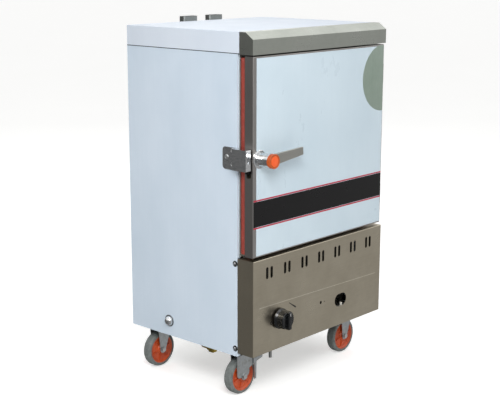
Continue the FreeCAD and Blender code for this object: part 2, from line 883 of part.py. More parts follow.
def build_burner():
    """Tray, heat shields, bar burners, manifold and jets."""
    tray_half = half_width - burner_tray_side_inset
    tray_front = -burner_tray_front_reach
    tray = box((-tray_half, tray_half), (tray_front, side_depth - burner_tray_rear_inset),
               (rail_top, shield_bottom))
    lip = box((-tray_half, tray_half), (tray_front, tray_front + burner_tray_sheet),
              (rail_top, shield_bottom + burner_tray_lip))
    slots = []
    slot_step = 2 * shield_half / (air_slot_count + 1)
    for row_y in (burner_front + air_slot_length, burner_back - air_slot_length):
        for place in range(air_slot_count):
            x = slot_step * (place + 1) - shield_half
            slots.append(box(around(x, air_slot_width / 2), around(row_y, air_slot_length / 2),
                             (rail_top - over, shield_bottom + over)))
    parts["burner_tray"] = tray.fuse(lip).cut(group(slots)).removeSplitter()
    parts["heat_shields"] = group(heat_shields())
    parts["burner_bars"] = group([burner_bar(x) for x in burner_places()])
    manifold = rod((-manifold_end, manifold_y, knob_z), (1, 0, 0),
                   manifold_end + burner_spacing + 2 * jet_radius, manifold_radius)
    parts["burner_manifold"] = group([manifold] + [burner_jet(x) for x in burner_places()])
    supports = [burner_support(burner_front + support_from_front), burner_support(burner_back - support_from_back)]
    parts["burner_supports"] = group(supports)


def heat_shields():
    """Three folded sheets around the flames."""
    span_y = (shield_front, shield_back)
    wall = box((-shield_half, shield_sheet - shield_half), span_y, (shield_bottom, shield_top))
    fold_x = (-shield_half, shield_fold - shield_half)
    foot = box(fold_x, span_y, (shield_bottom, shield_bottom + shield_sheet))
    head = box(fold_x, span_y, (shield_top - shield_sheet, shield_top))
    left = wall.fuse(foot).fuse(head).removeSplitter()
    rear_y = (shield_back, shield_back + shield_sheet)
    rear = box((-shield_half, shield_half), rear_y, (shield_bottom, shield_top))
    for centre in flue_centres:
        rear = rear.cut(flue_hole(centre, (rear_y[0] - over, rear_y[1] + over)))
    return [left, mirrored_x(left), rear]


def burner_bar(x):
    """One bar burner: a bell mouth, a throat and a slotted tube."""
    length = burner_back - burner_front
    bore = burner_radius - burner_wall
    profile = [
        (bore, 0.0),
        (burner_radius, 0.0),
        (burner_throat_radius + burner_wall, burner_taper / 2),
        (burner_radius, burner_taper),
        (burner_radius, length),
        (0.0, length),
        (0.0, length - burner_wall),
        (bore, length - burner_wall),
        (bore, burner_taper),
        (burner_throat_radius, burner_taper / 2),
    ]
    bar = turned(profile, (x, burner_front, knob_z), (0, 1, 0))
    slots = []
    slot_half = burner_radius * 0.6
    first = burner_front + burner_taper + port_end_margin
    port_step = (burner_back - port_end_margin - first) / (port_count - 1)
    for port in range(port_count):
        slots.append(box(around(x, slot_half), around(first + port_step * port, port_width / 2),
                         (knob_z + slot_half, knob_z + burner_radius + over)))
    return bar.cut(group(slots))


def burner_jet(x):
    """A brass nozzle on the manifold that points into a bar."""
    jet = rod((x, manifold_y, knob_z), (0, 1, 0), burner_front - jet_gap - manifold_y, jet_radius)
    return jet.cut(rod((x - manifold_end, manifold_y, knob_z), (1, 0, 0), 2 * manifold_end, manifold_radius))


def burner_support(y):
    """A notched cross plate that carries the bars."""
    half = burner_spacing + support_overhang
    plate = box((-half, half), (y, y + support_thickness), (shield_bottom, knob_z))
    foot = box((-half, half), (y, y + support_foot), (shield_bottom, shield_bottom + support_thickness))
    plate = plate.fuse(foot)
    for x in burner_places():
        plate = plate.cut(rod((x, y - over, knob_z), (0, 1, 0), support_thickness + 2 * over,
                              burner_radius + support_notch_gap))
    return plate.removeSplitter()


def build_gas_line():
    """Valve, pipes, spindle, plunger, knob and spark electrode."""
    half = valve_width / 2
    body = box(around(knob_x, half), (-valve_front, -valve_back), around(knob_z, half))
    body = soften(body, valve_corner, lambda edge: edge_along(edge, 1))
    bonnet_end = panel_reach - sheet
    sliding_radius = spindle_radius + running_clearance
    body = body.fuse(rod((knob_x, -bonnet_end, knob_z), (0, 1, 0), bonnet_end - valve_front, bonnet_radius))
    body = body.cut(rod((knob_x, -bonnet_end - over, knob_z), (0, 1, 0),
                        bonnet_end + over - plunger_bore_end, plunger_bore_radius))
    body = body.cut(rod((knob_x, -plunger_bore_end - over, knob_z), (0, 1, 0),
                        plunger_bore_end + over - spindle_bore_end, sliding_radius))
    parts["gas_valve"] = body.removeSplitter()
    link = swept_rod([(knob_x, -valve_back, knob_z), (knob_x, manifold_y, knob_z),
                      (-manifold_end, manifold_y, knob_z)], link_bend, link_pipe_radius)
    parts["gas_pipes"] = group([gas_tail(knob_z - half), link])
    spindle = rod((knob_x, -spindle_front, knob_z), (0, 1, 0), spindle_front - spindle_back, spindle_radius)
    ring_y = -plunger_front - spindle_ring_reach
    ring = rod((knob_x, ring_y, knob_z), (0, 1, 0), spindle_ring_width, spindle_radius + spindle_ring_reach)
    parts["knob_spindle"] = spindle.fuse(ring).removeSplitter()
    plunger = rod((knob_x, -plunger_front, knob_z), (0, 1, 0), plunger_length, plunger_radius)
    parts["valve_plunger"] = plunger.cut(rod((knob_x, -plunger_front - over, knob_z), (0, 1, 0),
                                             plunger_length + 2 * over, sliding_radius))
    build_knob()
    build_spark()


def gas_tail(top):
    """The short supply pipe under the valve, with its nut."""
    y = -(valve_front + valve_back) / 2
    low = panel_bottom - gas_tail_drop
    tail = rod((knob_x, y, low), (0, 0, 1), top - low, gas_tail_radius)
    tail = tail.fuse(hexagon((knob_x, y, top - gas_nut_height), gas_nut_radius, gas_nut_height))
    return tail.cut(rod((knob_x, y, low - over), (0, 0, 1), top - low + 2 * over, gas_tail_radius - gas_tail_wall))


def build_knob():
    """The gas knob: a dial skirt, a round body and a bar to grip."""
    back = panel_reach + knob_panel_gap
    body_end = knob_skirt_height + knob_body_height
    face_radius = knob_body_radius - knob_body_taper
    profile = [
        (0.0, 0.0),
        (knob_skirt_radius, 0.0),
        (knob_skirt_radius, knob_skirt_edge),
        (knob_skirt_radius - knob_skirt_bevel, knob_skirt_height),
        (knob_body_radius, knob_skirt_height + knob_neck),
        (face_radius, body_end - knob_face_round),
        (face_radius - knob_face_round, body_end),
        (0.0, body_end),
    ]
    knob = turned(profile, (knob_x, -back, knob_z), (0, -1, 0))
    grip_front = back + body_end + knob_grip_height
    grip = box(around(knob_x, knob_grip_width / 2), (-grip_front, -back - knob_skirt_height),
               around(knob_z, knob_grip_length / 2))
    grip = soften(grip, knob_grip_round,
                  lambda edge: edge_along(edge, 1) or edge.BoundBox.YMax < touch - grip_front)
    hole = rod((knob_x, -spindle_front, knob_z), (0, 1, 0), spindle_front, spindle_radius + tight_clearance)
    parts["gas_knob"] = knob.fuse(grip).cut(hole).removeSplitter()


def build_spark():
    """A white electrode on a steel bracket, seen through the peep hole."""
    span_x = around(peep_x, spark_bracket_half)
    bracket = box(span_x, (spark_y, spark_y + spark_bracket_sheet),
                  (shield_bottom, spark_height + 2 * spark_rod_radius))
    foot = box(span_x, (spark_y, spark_y + spark_foot), (shield_bottom, shield_bottom + spark_bracket_sheet))
    hole = rod((peep_x, spark_y - over, spark_height), (0, 1, 0), spark_bracket_sheet + 2 * over,
               spark_rod_radius + spark_hole_gap)
    rod_front = spark_y - spark_rod_length / 2
    ceramic = rod((peep_x, rod_front, spark_height), (0, 1, 0), spark_rod_length, spark_rod_radius)
    rod_back = rod_front + spark_rod_length
    wire = rod((peep_x, rod_back, spark_height), (0, 1, 0), spark_wire_length, spark_wire_radius)
    parts["spark_electrode"] = group([bracket.fuse(foot).cut(hole).removeSplitter(), ceramic, wire])


def build_water_pipes():
    """Drain with its hose barb, and the overflow with its side port."""
    top = tank_floor - tank_sheet
    drain_low = -drain_drop
    body_half = drain_body_size / 2
    drain = rod((water_pipe_x, drain_y, drain_low + body_half), (0, 0, 1), top - drain_low - body_half,
                water_pipe_radius)
    elbow = box(around(water_pipe_x, body_half), around(drain_y, body_half), around(drain_low, body_half))
    elbow = soften(elbow, drain_corner, lambda edge: True)
    drain = drain.fuse(elbow)
    drain = drain.cut(rod((water_pipe_x, drain_y, drain_low), (0, 0, 1), top - drain_low + over,
                          water_pipe_radius - water_pipe_wall))
    drain = drain.cut(rod((water_pipe_x, drain_y, drain_low), (0, 1, 0), body_half + over, barb_bore_radius))
    parts["drain_pipe"] = drain.removeSplitter()
    profile = [(barb_bore_radius, 0.0), (barb_nut_radius, 0.0), (barb_nut_radius, barb_nut_length)]
    ridge = (barb_length - barb_nut_length) / barb_ridges
    for index in range(barb_ridges):
        start = barb_nut_length + ridge * index
        profile.append((barb_radius, start))
        profile.append((barb_radius - barb_bite, start + ridge))
    profile.append((barb_bore_radius, barb_length))
    parts["drain_barb"] = turned(profile, (water_pipe_x, drain_y + body_half, drain_low), (0, 1, 0))
    port_seat_x = port_seat_reach - port_flange_thickness - half_width
    route = [(water_pipe_x, overflow_y, top), (water_pipe_x, overflow_y, overflow_z),
             (port_seat_x, overflow_y, overflow_z)]
    parts["overflow_pipe"] = pipe(route, overflow_bend, water_pipe_radius, water_pipe_wall)
    parts["side_port"] = side_port(port_seat_x)


def side_port(seat_x):
    """The domed cap over the overflow's end on the left side."""
    dome = [(0.0, port_cap_height)]
    for index in range(1, port_dome_steps + 1):
        angle = math.radians(90 - port_dome_sweep * index / port_dome_steps)
        dome.append((port_cap_radius * math.cos(angle), port_cap_height * math.sin(angle)))
    dome += [
        (port_cap_radius, port_flange_thickness),
        (port_flange_radius, port_flange_thickness),
        (port_flange_radius, 0.0),
        (0.0, 0.0),
    ]
    cap = turned(dome, (-half_width, overflow_y, overflow_z), (-1, 0, 0))
    return cap.cut(rod((seat_x, overflow_y, overflow_z), (1, 0, 0), port_flange_thickness,
                       water_pipe_radius + port_seat_gap))


def build_flues():
    """Two flat ducts up the back, with hat straps around both."""
    parts["flue_ducts"] = group([flue_duct(centre) for centre in flue_centres])
    parts["flue_straps"] = group([flue_strap(side_height * share) for share in strap_shares])


def flue_duct(centre):
    """One duct with round corners and the stub that takes its smoke."""
    top = cover_top + flue_top_rise
    half = flue_width / 2
    outer = box(around(centre, half), (flue_near_face, flue_near_face + flue_depth), (flue_bottom, top))
    outer = soften(outer, flue_corner, lambda edge: edge_along(edge, 2))
    inner_y = (flue_near_face + flue_wall, flue_near_face + flue_depth - flue_wall)
    inner = box(around(centre, half - flue_wall), inner_y, (flue_bottom + flue_wall, top + over))
    inner = soften(inner, flue_corner - flue_wall, lambda edge: edge_along(edge, 2))
    half_x = flue_stub_width / 2
    half_z = flue_stub_height / 2
    stub = box(around(centre, half_x), (shield_back, inner_y[0]), around(flue_stub_centre, half_z))
    stub_bore = box(around(centre, half_x - flue_wall), (shield_back - over, inner_y[0] + over),
                    around(flue_stub_centre, half_z - flue_wall))
    return outer.fuse(stub).cut(inner).cut(stub_bore).removeSplitter()


def flue_strap(height):
    """One hat strap over both ducts, with feet on the rear panel."""
    left = flue_centres[0] - flue_width / 2 - strap_margin
    right = flue_centres[1] + flue_width / 2 + strap_margin
    near = side_depth + strap_sheet
    far = flue_near_face + flue_depth + strap_sheet
    section = [
        (left - strap_foot, side_depth),
        (left, side_depth),
        (left, far - strap_sheet),
        (right, far - strap_sheet),
        (right, side_depth),
        (right + strap_foot, side_depth),
        (right + strap_foot, near),
        (right + strap_sheet, near),
        (right + strap_sheet, far),
        (left - strap_sheet, far),
        (left - strap_sheet, near),
        (left - strap_foot, near),
    ]
    low = height - strap_width / 2
    return prism([(x, y, low) for x, y in section], (0, 0, strap_width))


def build_hinges():
    """Two pin hinges on the right, each half on its own side."""
    parts["hinge_brackets"] = group([hinge_bracket(height) for height in hinge_heights])
    parts["hinge_pins"] = group([hinge_pin(height) for height in hinge_heights])
    parts["door_hinge_leaves"] = group([door_leaf(height + knuckle_gap) for height in hinge_heights])
    screws = []
    for height in hinge_heights:
        for row in range(2):
            for z in (height - hinge_screw_edge, height - knuckle_height + hinge_screw_edge):
                place = (half_width + hinge_plate, hinge_screw_row + row * hinge_screw_spacing, z)
                screws.append(domed_head(hinge_screw_radius, hinge_screw_height, place, (1, 0, 0)))
    parts["hinge_screws"] = group(screws)


def hinge_bracket(height):
    """The lower knuckle and its plate on the cabinet's side."""
    low = height - knuckle_height
    knuckle = rod((hinge_x, -hinge_reach, low), (0, 0, 1), knuckle_height, knuckle_radius)
    plate = box((half_width, half_width + hinge_plate), (-hinge_reach, hinge_plate_length), (low, height))
    bore = rod((hinge_x, -hinge_reach, low - over), (0, 0, 1), knuckle_height + 2 * over,
               hinge_pin_radius + hinge_pin_fit)
    return knuckle.fuse(plate).removeSplitter().cut(bore)


def hinge_pin(height):
    """The pin up through both knuckles, with its head underneath."""
    low = height - knuckle_height - hinge_pin_head
    length = hinge_pin_head + 2 * knuckle_height + knuckle_gap + hinge_pin_tip
    pin = rod((hinge_x, -hinge_reach, low), (0, 0, 1), length, hinge_pin_radius)
    return pin.fuse(rod((hinge_x, -hinge_reach, low), (0, 0, 1), hinge_pin_head, hinge_pin_head_radius))


def door_leaf(low):
    """The upper knuckle and the leaf on the door's edge."""
    span_z = (low, low + knuckle_height)
    knuckle = rod((hinge_x, -hinge_reach, low), (0, 0, 1), knuckle_height, knuckle_radius)
    leaf = box((door_half, door_half + door_leaf_plate), around(-hinge_reach, door_leaf_half), span_z)
    web = box((door_half, hinge_x), around(-hinge_reach, door_leaf_plate), span_z)
    bore = rod((hinge_x, -hinge_reach, low - over), (0, 0, 1), knuckle_height + 2 * over,
               hinge_pin_radius + running_clearance)
    return knuckle.fuse(leaf).fuse(web).removeSplitter().cut(bore)


def build_door():
    """Outer shell, inner liner, core board and gasket."""
    outside = box((-door_half, door_half), (-door_front, -door_back), (door_bottom, door_top))
    outside = soften(outside, fold_radius, lambda edge: edge.BoundBox.YMax < touch - door_front)
    inner_half = door_half - door_sheet
    inside = box((-inner_half, inner_half), (door_sheet - door_front, -door_back - door_sheet),
                 (door_bottom + door_sheet, door_top - door_sheet))
    mouth_x = door_half - door_fold
    mouth = box((-mouth_x, mouth_x), (-door_back - door_sheet - over, over - door_back),
                (door_bottom + door_fold, door_top - door_fold))
    slot_y = (-tongue_front - tongue_slot_clearance, tongue_thickness + tongue_slot_clearance - tongue_front)
    slot_z = (latch_z - tongue_slot_low, latch_z - tongue_slot_high)
    slot = box((-door_half - over, over - inner_half), slot_y, slot_z)
    shaft_hole = rod((latch_x, -door_front - over, latch_z), (0, 1, 0), door_sheet + 2 * over,
                     shaft_radius + shell_hole_clearance)
    parts["door_shell"] = outside.cut(inside).cut(mouth).cut(slot).cut(shaft_hole)
    parts["door_liner"] = door_liner()
    core_x = inner_half - board_clearance
    skin = door_sheet + board_clearance
    core = box((-core_x, core_x), (skin - door_front, -door_back - skin), (door_bottom + skin, door_top - skin))
    room = box((-door_half, door_sheet + latch_room_width - door_half), (-door_front, 0),
               (latch_z - latch_room_low, latch_z + latch_room_high))
    parts["door_core"] = core.cut(room)
    build_gasket()


def door_liner():
    """The door's inner sheet with its pressed panel."""
    back = -door_back
    half = door_half - door_liner_inset
    low = door_bottom + door_liner_inset
    high = door_top - door_liner_inset
    plate = box((-half, half), (back, back + door_sheet), (low, high))
    raised_half = half - door_liner_border
    raised_z = (low + door_liner_border, high - door_liner_border)
    raised = box((-raised_half, raised_half), (back, back + door_sheet + door_liner_step), raised_z)
    raised = soften(raised, door_liner_round,
                    lambda edge: edge.BoundBox.YMin > touch - door_back or edge_along(edge, 1))
    press_half = raised_half - door_liner_step
    press = box((-press_half, press_half), (back - over, back + door_liner_step),
                (raised_z[0] + door_liner_step, raised_z[1] - door_liner_step))
    return plate.fuse(raised).cut(press).removeSplitter()


def build_gasket():
    """A thick red seal around the back of the door."""
    half = door_half - gasket_inset
    low = door_bottom + gasket_inset
    high = door_top - gasket_inset
    span_y = (door_sheet - door_back, -frame_reach - gasket_seal_gap)
    outside = box((-half, half), span_y, (low, high))
    inside = box((gasket_width - half, half - gasket_width), (span_y[0] - over, span_y[1] + over),
                 (low + gasket_width, high - gasket_width))
    ring = outside.cut(inside)
    parts["door_gasket"] = soften(ring, gasket_radius, lambda edge: edge.BoundBox.YMin > span_y[1] - touch)


def build_latch():
    """Rosette, handle, cap and the tongue inside the door."""
    bore = shaft_radius + running_clearance
    profile = [
        (bore, 0.0),
        (rosette_radius, 0.0),
        (rosette_radius, rosette_height / 2),
        (rosette_radius - rosette_bevel, rosette_height),
        (bore, rosette_height),
    ]
    parts["latch_rosette"] = turned(profile, (latch_x, -door_front, latch_z), (0, -1, 0))
    boss_back = door_front + rosette_height + boss_gap
    shaft = rod((latch_x, -boss_back, latch_z), (0, 1, 0), boss_back - shaft_back, shaft_radius)
    boss = rod((latch_x, -boss_front, latch_z), (0, 1, 0), boss_front - boss_back, boss_radius)
    parts["latch_handle"] = boss.fuse(shaft).fuse(lever_blade()).removeSplitter()
    cap_front = boss_front + cap_height
    cap = rod((latch_x, -cap_front, latch_z), (0, 1, 0), cap_height, cap_radius)
    parts["latch_cap"] = soften(cap, cap_round, lambda edge: edge.BoundBox.YMax < touch - cap_front)
    parts["latch_tongue"] = latch_tongue()


def lever_blade():
    """The flat lever, drawn level and then tipped up."""
    root = lever_root_width / 2
    half = lever_width / 2
    outline = [(0, -root), (lever_length, -half), (lever_length, half), (0, root)]
    blade = prism([(x, -lever_front, z) for x, z in outline], (0, lever_thickness, 0))
    blade = soften(blade, lever_corner, lambda edge: edge_along(edge, 1) and edge.BoundBox.XMin > touch)
    blade = soften(blade, lever_edge_round, lambda edge: edge.BoundBox.YLength < touch)
    blade.rotate(FreeCAD.Vector(0, 0, 0), FreeCAD.Vector(0, 1, 0), -lever_rise)
    blade.translate(FreeCAD.Vector(latch_x, 0, latch_z))
    return blade


def latch_tongue():
    """A hooked cam on the shaft whose finger leaves the door's edge."""
    hub = rod((latch_x, -tongue_front, latch_z), (0, 1, 0), tongue_thickness, tongue_hub_radius)
    tip_x = -half_width - tongue_past_side
    finger_low = latch_z - tongue_tip_low
    finger_high = finger_low + tongue_tip_height
    outline = [
        (latch_x + tongue_hub_radius * 0.8, latch_z - tongue_hub_radius * 0.5),
        (latch_x - tongue_hub_radius * 0.6, finger_low),
        (tip_x, finger_low),
        (tip_x, finger_high),
        (latch_x - tongue_hub_radius * 1.5, finger_high + tongue_tip_height / 4),
        (latch_x - tongue_hub_radius * 0.95, latch_z),
    ]
    arm = prism([(x, -tongue_front, z) for x, z in outline], (0, tongue_thickness, 0))
    bore = rod((latch_x, -tongue_front - over, latch_z), (0, 1, 0), tongue_thickness + 2 * over,
               shaft_radius + tight_clearance)
    return hub.fuse(arm).cut(bore).removeSplitter()


def build_keeper():
    """The chromed keeper on the left side, with its screws."""
    face = -half_width
    top = latch_z + keeper_high
    plate = box((face - keeper_plate, face), (0, keeper_plate_length), (latch_z - keeper_low, top))
    plate = soften(plate, keeper_corner,
                   lambda edge: edge_along(edge, 0) and edge.BoundBox.YMin > keeper_plate_length - touch)
    block_low = latch_z - keeper_block_low
    block = box((face - keeper_block, face), (-keeper_block_front, 0), (block_low, top))
    block = soften(block, keeper_block_round, lambda edge: edge.BoundBox.YMax < touch - keeper_block_front)
    pocket_y = (-tongue_front - pocket_clearance, tongue_thickness + pocket_clearance - tongue_front)
    pocket = box((face - pocket_depth, face + over), pocket_y, (block_low - over, latch_z - pocket_low))
    keeper = plate.fuse(block).cut(pocket)
    for z in around(latch_z + keeper_hole_rise, keeper_hole_spacing / 2):
        keeper = keeper.cut(rod((face - keeper_block / 2, -keeper_block_front - over, z), (0, 1, 0),
                                keeper_hole_depth + over, keeper_hole_radius))
    parts["latch_keeper"] = keeper.removeSplitter()
    middle = latch_z + keeper_screw_middle
    places = [
        (keeper_screw_near, middle + keeper_screw_rise),
        (keeper_screw_far, middle),
        (keeper_screw_near, middle - keeper_screw_rise),
    ]
    heads = [
        domed_head(keeper_screw_radius, keeper_screw_height, (face - keeper_plate, y, z), (-1, 0, 0))
        for y, z in places
    ]
    parts["keeper_screws"] = group(heads)


def build_panel_screws():
    """Washers and domed heads that hold the lower panel's tabs."""
    dome_end = panel_washer_thickness + panel_screw_dome
    profile = [
        (0.0, 0.0),
        (panel_washer_radius, 0.0),
        (panel_washer_radius, panel_washer_edge),
        (panel_screw_radius, panel_washer_thickness),
        (panel_screw_radius, panel_washer_thickness + panel_screw_dome / 2),
        (panel_screw_radius / 2, dome_end),
        (0.0, dome_end),
    ]
    screws = []
    for height in (panel_bottom + panel_screw_from_low, panel_top - panel_screw_from_top):
        screw = turned(profile, (-half_width, panel_screw_y, height), (-1, 0, 0))
        screws.append(screw)
        screws.append(mirrored_x(screw))
    parts["panel_screws"] = group(screws)


def build_casters():
    """Forks, tyres and hubs at the four corners."""
    for name, x, y in caster_places:
        guarded = name == "front_left"
        wheel_x = x - caster_trail
        parts["caster_fork_" + name] = caster_fork(x, y, guarded)
        parts["caster_tyre_" + name] = caster_tyre(wheel_x, y)
        parts["caster_hub_" + name] = caster_hub(wheel_x, y)
        if guarded:
            parts["brake_pedal"] = brake_pedal(wheel_x, y)


def caster_fork(x, y, guarded):
    """Swivel head, crown, two legs and the axle bolt of one caster."""
    flare = fork_head_radius + fork_head_flare
    head = turned([
        (0.0, 0.0),
        (flare, 0.0),
        (flare, fork_head_flare),
        (fork_head_radius, fork_head_neck),
        (fork_head_radius, fork_head_height - fork_head_bevel),
        (fork_head_radius - fork_head_bevel, fork_head_height),
        (0.0, fork_head_height),
    ], (x, y, fork_top_low), (0, 0, 1))
    wheel_x = x - caster_trail
    middle = (x + wheel_x) / 2
    half_top = fork_top_length / 2
    crown_top = fork_top_low + fork_top_sheet
    fork = head.fuse(box(around(middle, half_top), around(y, fork_leg_outer), (fork_top_low, crown_top)))
    for leg_y in (y - fork_leg_outer, y + fork_leg_inner):
        outline = [
            (middle - half_top, leg_y, crown_top),
            (wheel_x - fork_toe_radius, leg_y, axle_z),
            (wheel_x + fork_toe_radius, leg_y, axle_z),
            (middle + half_top, leg_y, crown_top),
        ]
        fork = fork.fuse(prism(outline, (0, fork_leg_sheet, 0)))
        fork = fork.fuse(rod((wheel_x, leg_y, axle_z), (0, 1, 0), fork_leg_sheet, fork_toe_radius))
        if guarded:
            fork = fork.fuse(brake_ear(wheel_x, leg_y))
    if guarded:
        fork = fork.fuse(side_guard(wheel_x, y - fork_leg_outer, crown_top))
    fork = fork.cut(rod((x, y, fork_top_low - over), (0, 0, 1), fork_head_height + 2 * over,
                        kingpin_radius + running_clearance))
    bolt_length = 2 * fork_leg_outer + 2 * axle_nut_height
    bolt = rod((wheel_x, y - bolt_length / 2, axle_z), (0, 1, 0), bolt_length, axle_radius)
    near_nut = axle_nut(wheel_x, y - fork_leg_outer - axle_nut_height)
    far_nut = axle_nut(wheel_x, y + fork_leg_outer)
    return fork.fuse(bolt).fuse(near_nut).fuse(far_nut).removeSplitter()


def axle_nut(x, y):
    """A six-sided nut on the axle bolt."""
    points = []
    for index in range(6):
        angle = math.radians(60 * index + 30)
        points.append((x + axle_nut_radius * math.cos(angle), y, axle_z + axle_nut_radius * math.sin(angle)))
    return prism(points, (0, axle_nut_height, 0))


def brake_ear(wheel_x, y):
    """A lug on a fork leg that carries the pedal's pivot."""
    pivot_x = wheel_x + pedal_x
    pivot_z = axle_z + pedal_z
    corner = pedal_ear_radius * 0.7
    top = fork_top_low + fork_top_sheet
    web = prism([
        (wheel_x, y, top),
        (wheel_x, y, axle_z + fork_toe_radius),
        (pivot_x, y, pivot_z - pedal_ear_radius),
        (pivot_x + corner, y, pivot_z + corner),
        (wheel_x + caster_trail + fork_top_length / 3, y, top),
    ], (0, fork_leg_sheet, 0))
    lug = rod((pivot_x, y, pivot_z), (0, 1, 0), fork_leg_sheet, pedal_ear_radius)
    hole = rod((pivot_x, y - over, pivot_z), (0, 1, 0), fork_leg_sheet + 2 * over,
               pedal_pin_radius + running_clearance)
    return lug.fuse(web).cut(hole)


def side_guard(wheel_x, y, top):
    """The wide plate with a round lower edge on the braked caster."""
    low = axle_z - guard_below_axle
    span_x = (wheel_x - guard_half_width, wheel_x + guard_half_width - guard_rear_cut)
    plate = box(span_x, (y, y + fork_leg_sheet), (low, top))
    return soften(plate, guard_corner, lambda edge: edge_along(edge, 1) and edge.BoundBox.ZMax < low + touch)


def brake_pedal(wheel_x, y):
    """The foot bar, its two arms and the pivot pin."""
    pivot_x = wheel_x + pedal_x
    pivot_z = axle_z + pedal_z
    inner = fork_leg_outer + pedal_gap
    outer = inner + pedal_sheet
    bar_x = wheel_x + pedal_bar_x
    bar_end = bar_x + pedal_bar_width
    bar_top = pivot_z + pedal_ear_radius
    pedal = rod((pivot_x, y - outer, pivot_z), (0, 1, 0), 2 * outer, pedal_pin_radius)
    for start in (y - outer, y + inner):
        arm = [
            (pivot_x - pedal_ear_radius, start, bar_top),
            (pivot_x - pedal_ear_radius, start, pivot_z - pedal_ear_radius),
            (bar_end, start, pivot_z + pedal_tip_rise),
            (bar_end, start, bar_top),
        ]
        pedal = pedal.fuse(prism(arm, (0, pedal_sheet, 0)))
    tip_z = axle_z - pedal_arm_drop
    hanging = prism([
        (pivot_x - pedal_arm_root, y - outer, pivot_z),
        (pivot_x - pedal_arm_tip, y - outer, tip_z),
        (pivot_x + pedal_arm_tip, y - outer, tip_z),
        (pivot_x + pedal_arm_root, y - outer, pivot_z),
    ], (0, pedal_sheet, 0))
    bar = box((bar_x, bar_end), around(y, outer), (bar_top - pedal_sheet, bar_top))
    return pedal.fuse(hanging).fuse(bar).removeSplitter()


def caster_tyre(x, y):
    """A ring of rubber with rounded shoulders."""
    half = wheel_width / 2
    profile = [
        (wheel_radius - tread_thickness, -half),
        (wheel_radius - tread_round, -half),
        (wheel_radius - tread_bevel, tread_bevel - half),
        (wheel_radius, tread_round - half),
        (wheel_radius, half - tread_round),
        (wheel_radius - tread_bevel, half - tread_bevel),
        (wheel_radius - tread_round, half),
        (wheel_radius - tread_thickness, half),
    ]
    return turned(profile, (x, y, axle_z), (0, 1, 0))


def caster_hub(x, y):
    """A dished orange disc wheel with a bore for the axle bolt."""
    half = wheel_width / 2
    boss = hub_width / 2
    dish = half - hub_dish
    rim = wheel_radius - tread_thickness
    bore = axle_radius + running_clearance
    profile = [
        (bore, -boss),
        (hub_boss_radius, -boss),
        (hub_web_start, -dish),
        (rim - hub_rim_slope, -dish),
        (rim - hub_rim_land, -half),
        (rim, -half),
        (rim, half),
        (rim - hub_rim_land, half),
        (rim - hub_rim_slope, dish),
        (hub_web_start, dish),
        (hub_boss_radius, boss),
        (bore, boss),
    ]
    return turned(profile, (x, y, axle_z), (0, 1, 0))


def save_parts():
    """Stand the cabinet on the floor and write one file for each piece."""
    os.makedirs("parts", exist_ok=True)
    front = -boss_front - cap_height
    back = flue_near_face + flue_depth
    to_floor = FreeCAD.Vector(0, -(front + back) / 2, lift)
    for name, shape in parts.items():
        placed = shape.copy()
        placed.translate(to_floor)
        placed.exportStep("parts/" + name + ".step")


build_base()
build_side_panels()
build_rear_panel()
build_top_cover()
build_visor()
build_front_frame()
build_lower_panel()
build_chamber()
build_insulation()
build_burner()
build_gas_line()
build_water_pipes()
build_flues()
build_hinges()
build_door()
build_latch()
build_keeper()
build_panel_screws()
build_casters()
save_parts()
print(len(parts), "pieces written")
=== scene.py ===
import logging
import math
from dataclasses import dataclass
from enum import Enum
from typing import Any, Callable, ClassVar, Iterable, Mapping, Optional, Sequence, Union

import bpy
from mathutils import Euler, Matrix, Vector


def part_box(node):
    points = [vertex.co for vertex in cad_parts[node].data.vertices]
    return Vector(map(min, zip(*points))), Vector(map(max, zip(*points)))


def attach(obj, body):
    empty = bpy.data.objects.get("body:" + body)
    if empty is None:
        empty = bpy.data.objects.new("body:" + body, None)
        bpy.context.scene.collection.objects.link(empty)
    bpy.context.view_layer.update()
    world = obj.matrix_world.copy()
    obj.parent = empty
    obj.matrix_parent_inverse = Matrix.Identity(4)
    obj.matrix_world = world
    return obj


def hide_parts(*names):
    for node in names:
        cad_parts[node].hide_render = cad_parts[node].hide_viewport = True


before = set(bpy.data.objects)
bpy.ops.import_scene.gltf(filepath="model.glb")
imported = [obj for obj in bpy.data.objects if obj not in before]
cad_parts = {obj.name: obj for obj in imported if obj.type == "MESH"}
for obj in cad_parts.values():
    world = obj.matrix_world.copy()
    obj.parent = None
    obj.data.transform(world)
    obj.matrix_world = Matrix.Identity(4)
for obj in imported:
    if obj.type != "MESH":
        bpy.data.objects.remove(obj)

LOG = logging.getLogger("steamer")

# One millimetre, because the frame is in metres
MM = 0.001

Three = tuple[float, float, float]
Span = tuple[float, float]
Colour = tuple[float, float, float, float]
Socket = bpy.types.NodeSocket
Piece = bpy.types.Object
Feed = Union[float, tuple, Socket]

# A pattern that isn't drawn out along any axis
EVEN: Three = (1.0, 1.0, 1.0)

# From none of something to all of it
WHOLE: Span = (0.0, 1.0)

# How many sides the section of a bead has
WIRE_FACETS = 12

# The mix node's sockets for colours
MIX_SHARE, MIX_FIRST, MIX_SECOND, MIX_RESULT = 0, 6, 7, 2

# How a screen turns a stored colour value into light
SCREEN_KNEE = 0.04045
SCREEN_SLOPE = 12.92
SCREEN_LIFT = 0.055
SCREEN_POWER = 2.4


class Axis(Enum):
    """The direction a round piece or a brushed grain runs along."""

    X = 0
    Y = 1
    Z = 2

    def turn(self) -> Three:
        """The turn that lays a piece made along Z on this axis.

        Returns:
            Three angles in radians.
        """
        quarter = math.pi / 2
        turns = ((0.0, quarter, 0.0), (quarter, 0.0, 0.0), (0.0, 0.0, 0.0))
        return turns[self.value]

    def stretch(self, ratio: float) -> Three:
        """How often a pattern repeats on each axis when it is drawn out along this one.

        Args:
            ratio: How many times longer a mark is than it is wide.

        Returns:
            One factor for each axis.
        """
        return tuple(1.0 / ratio if index == self.value else 1.0 for index in range(3))


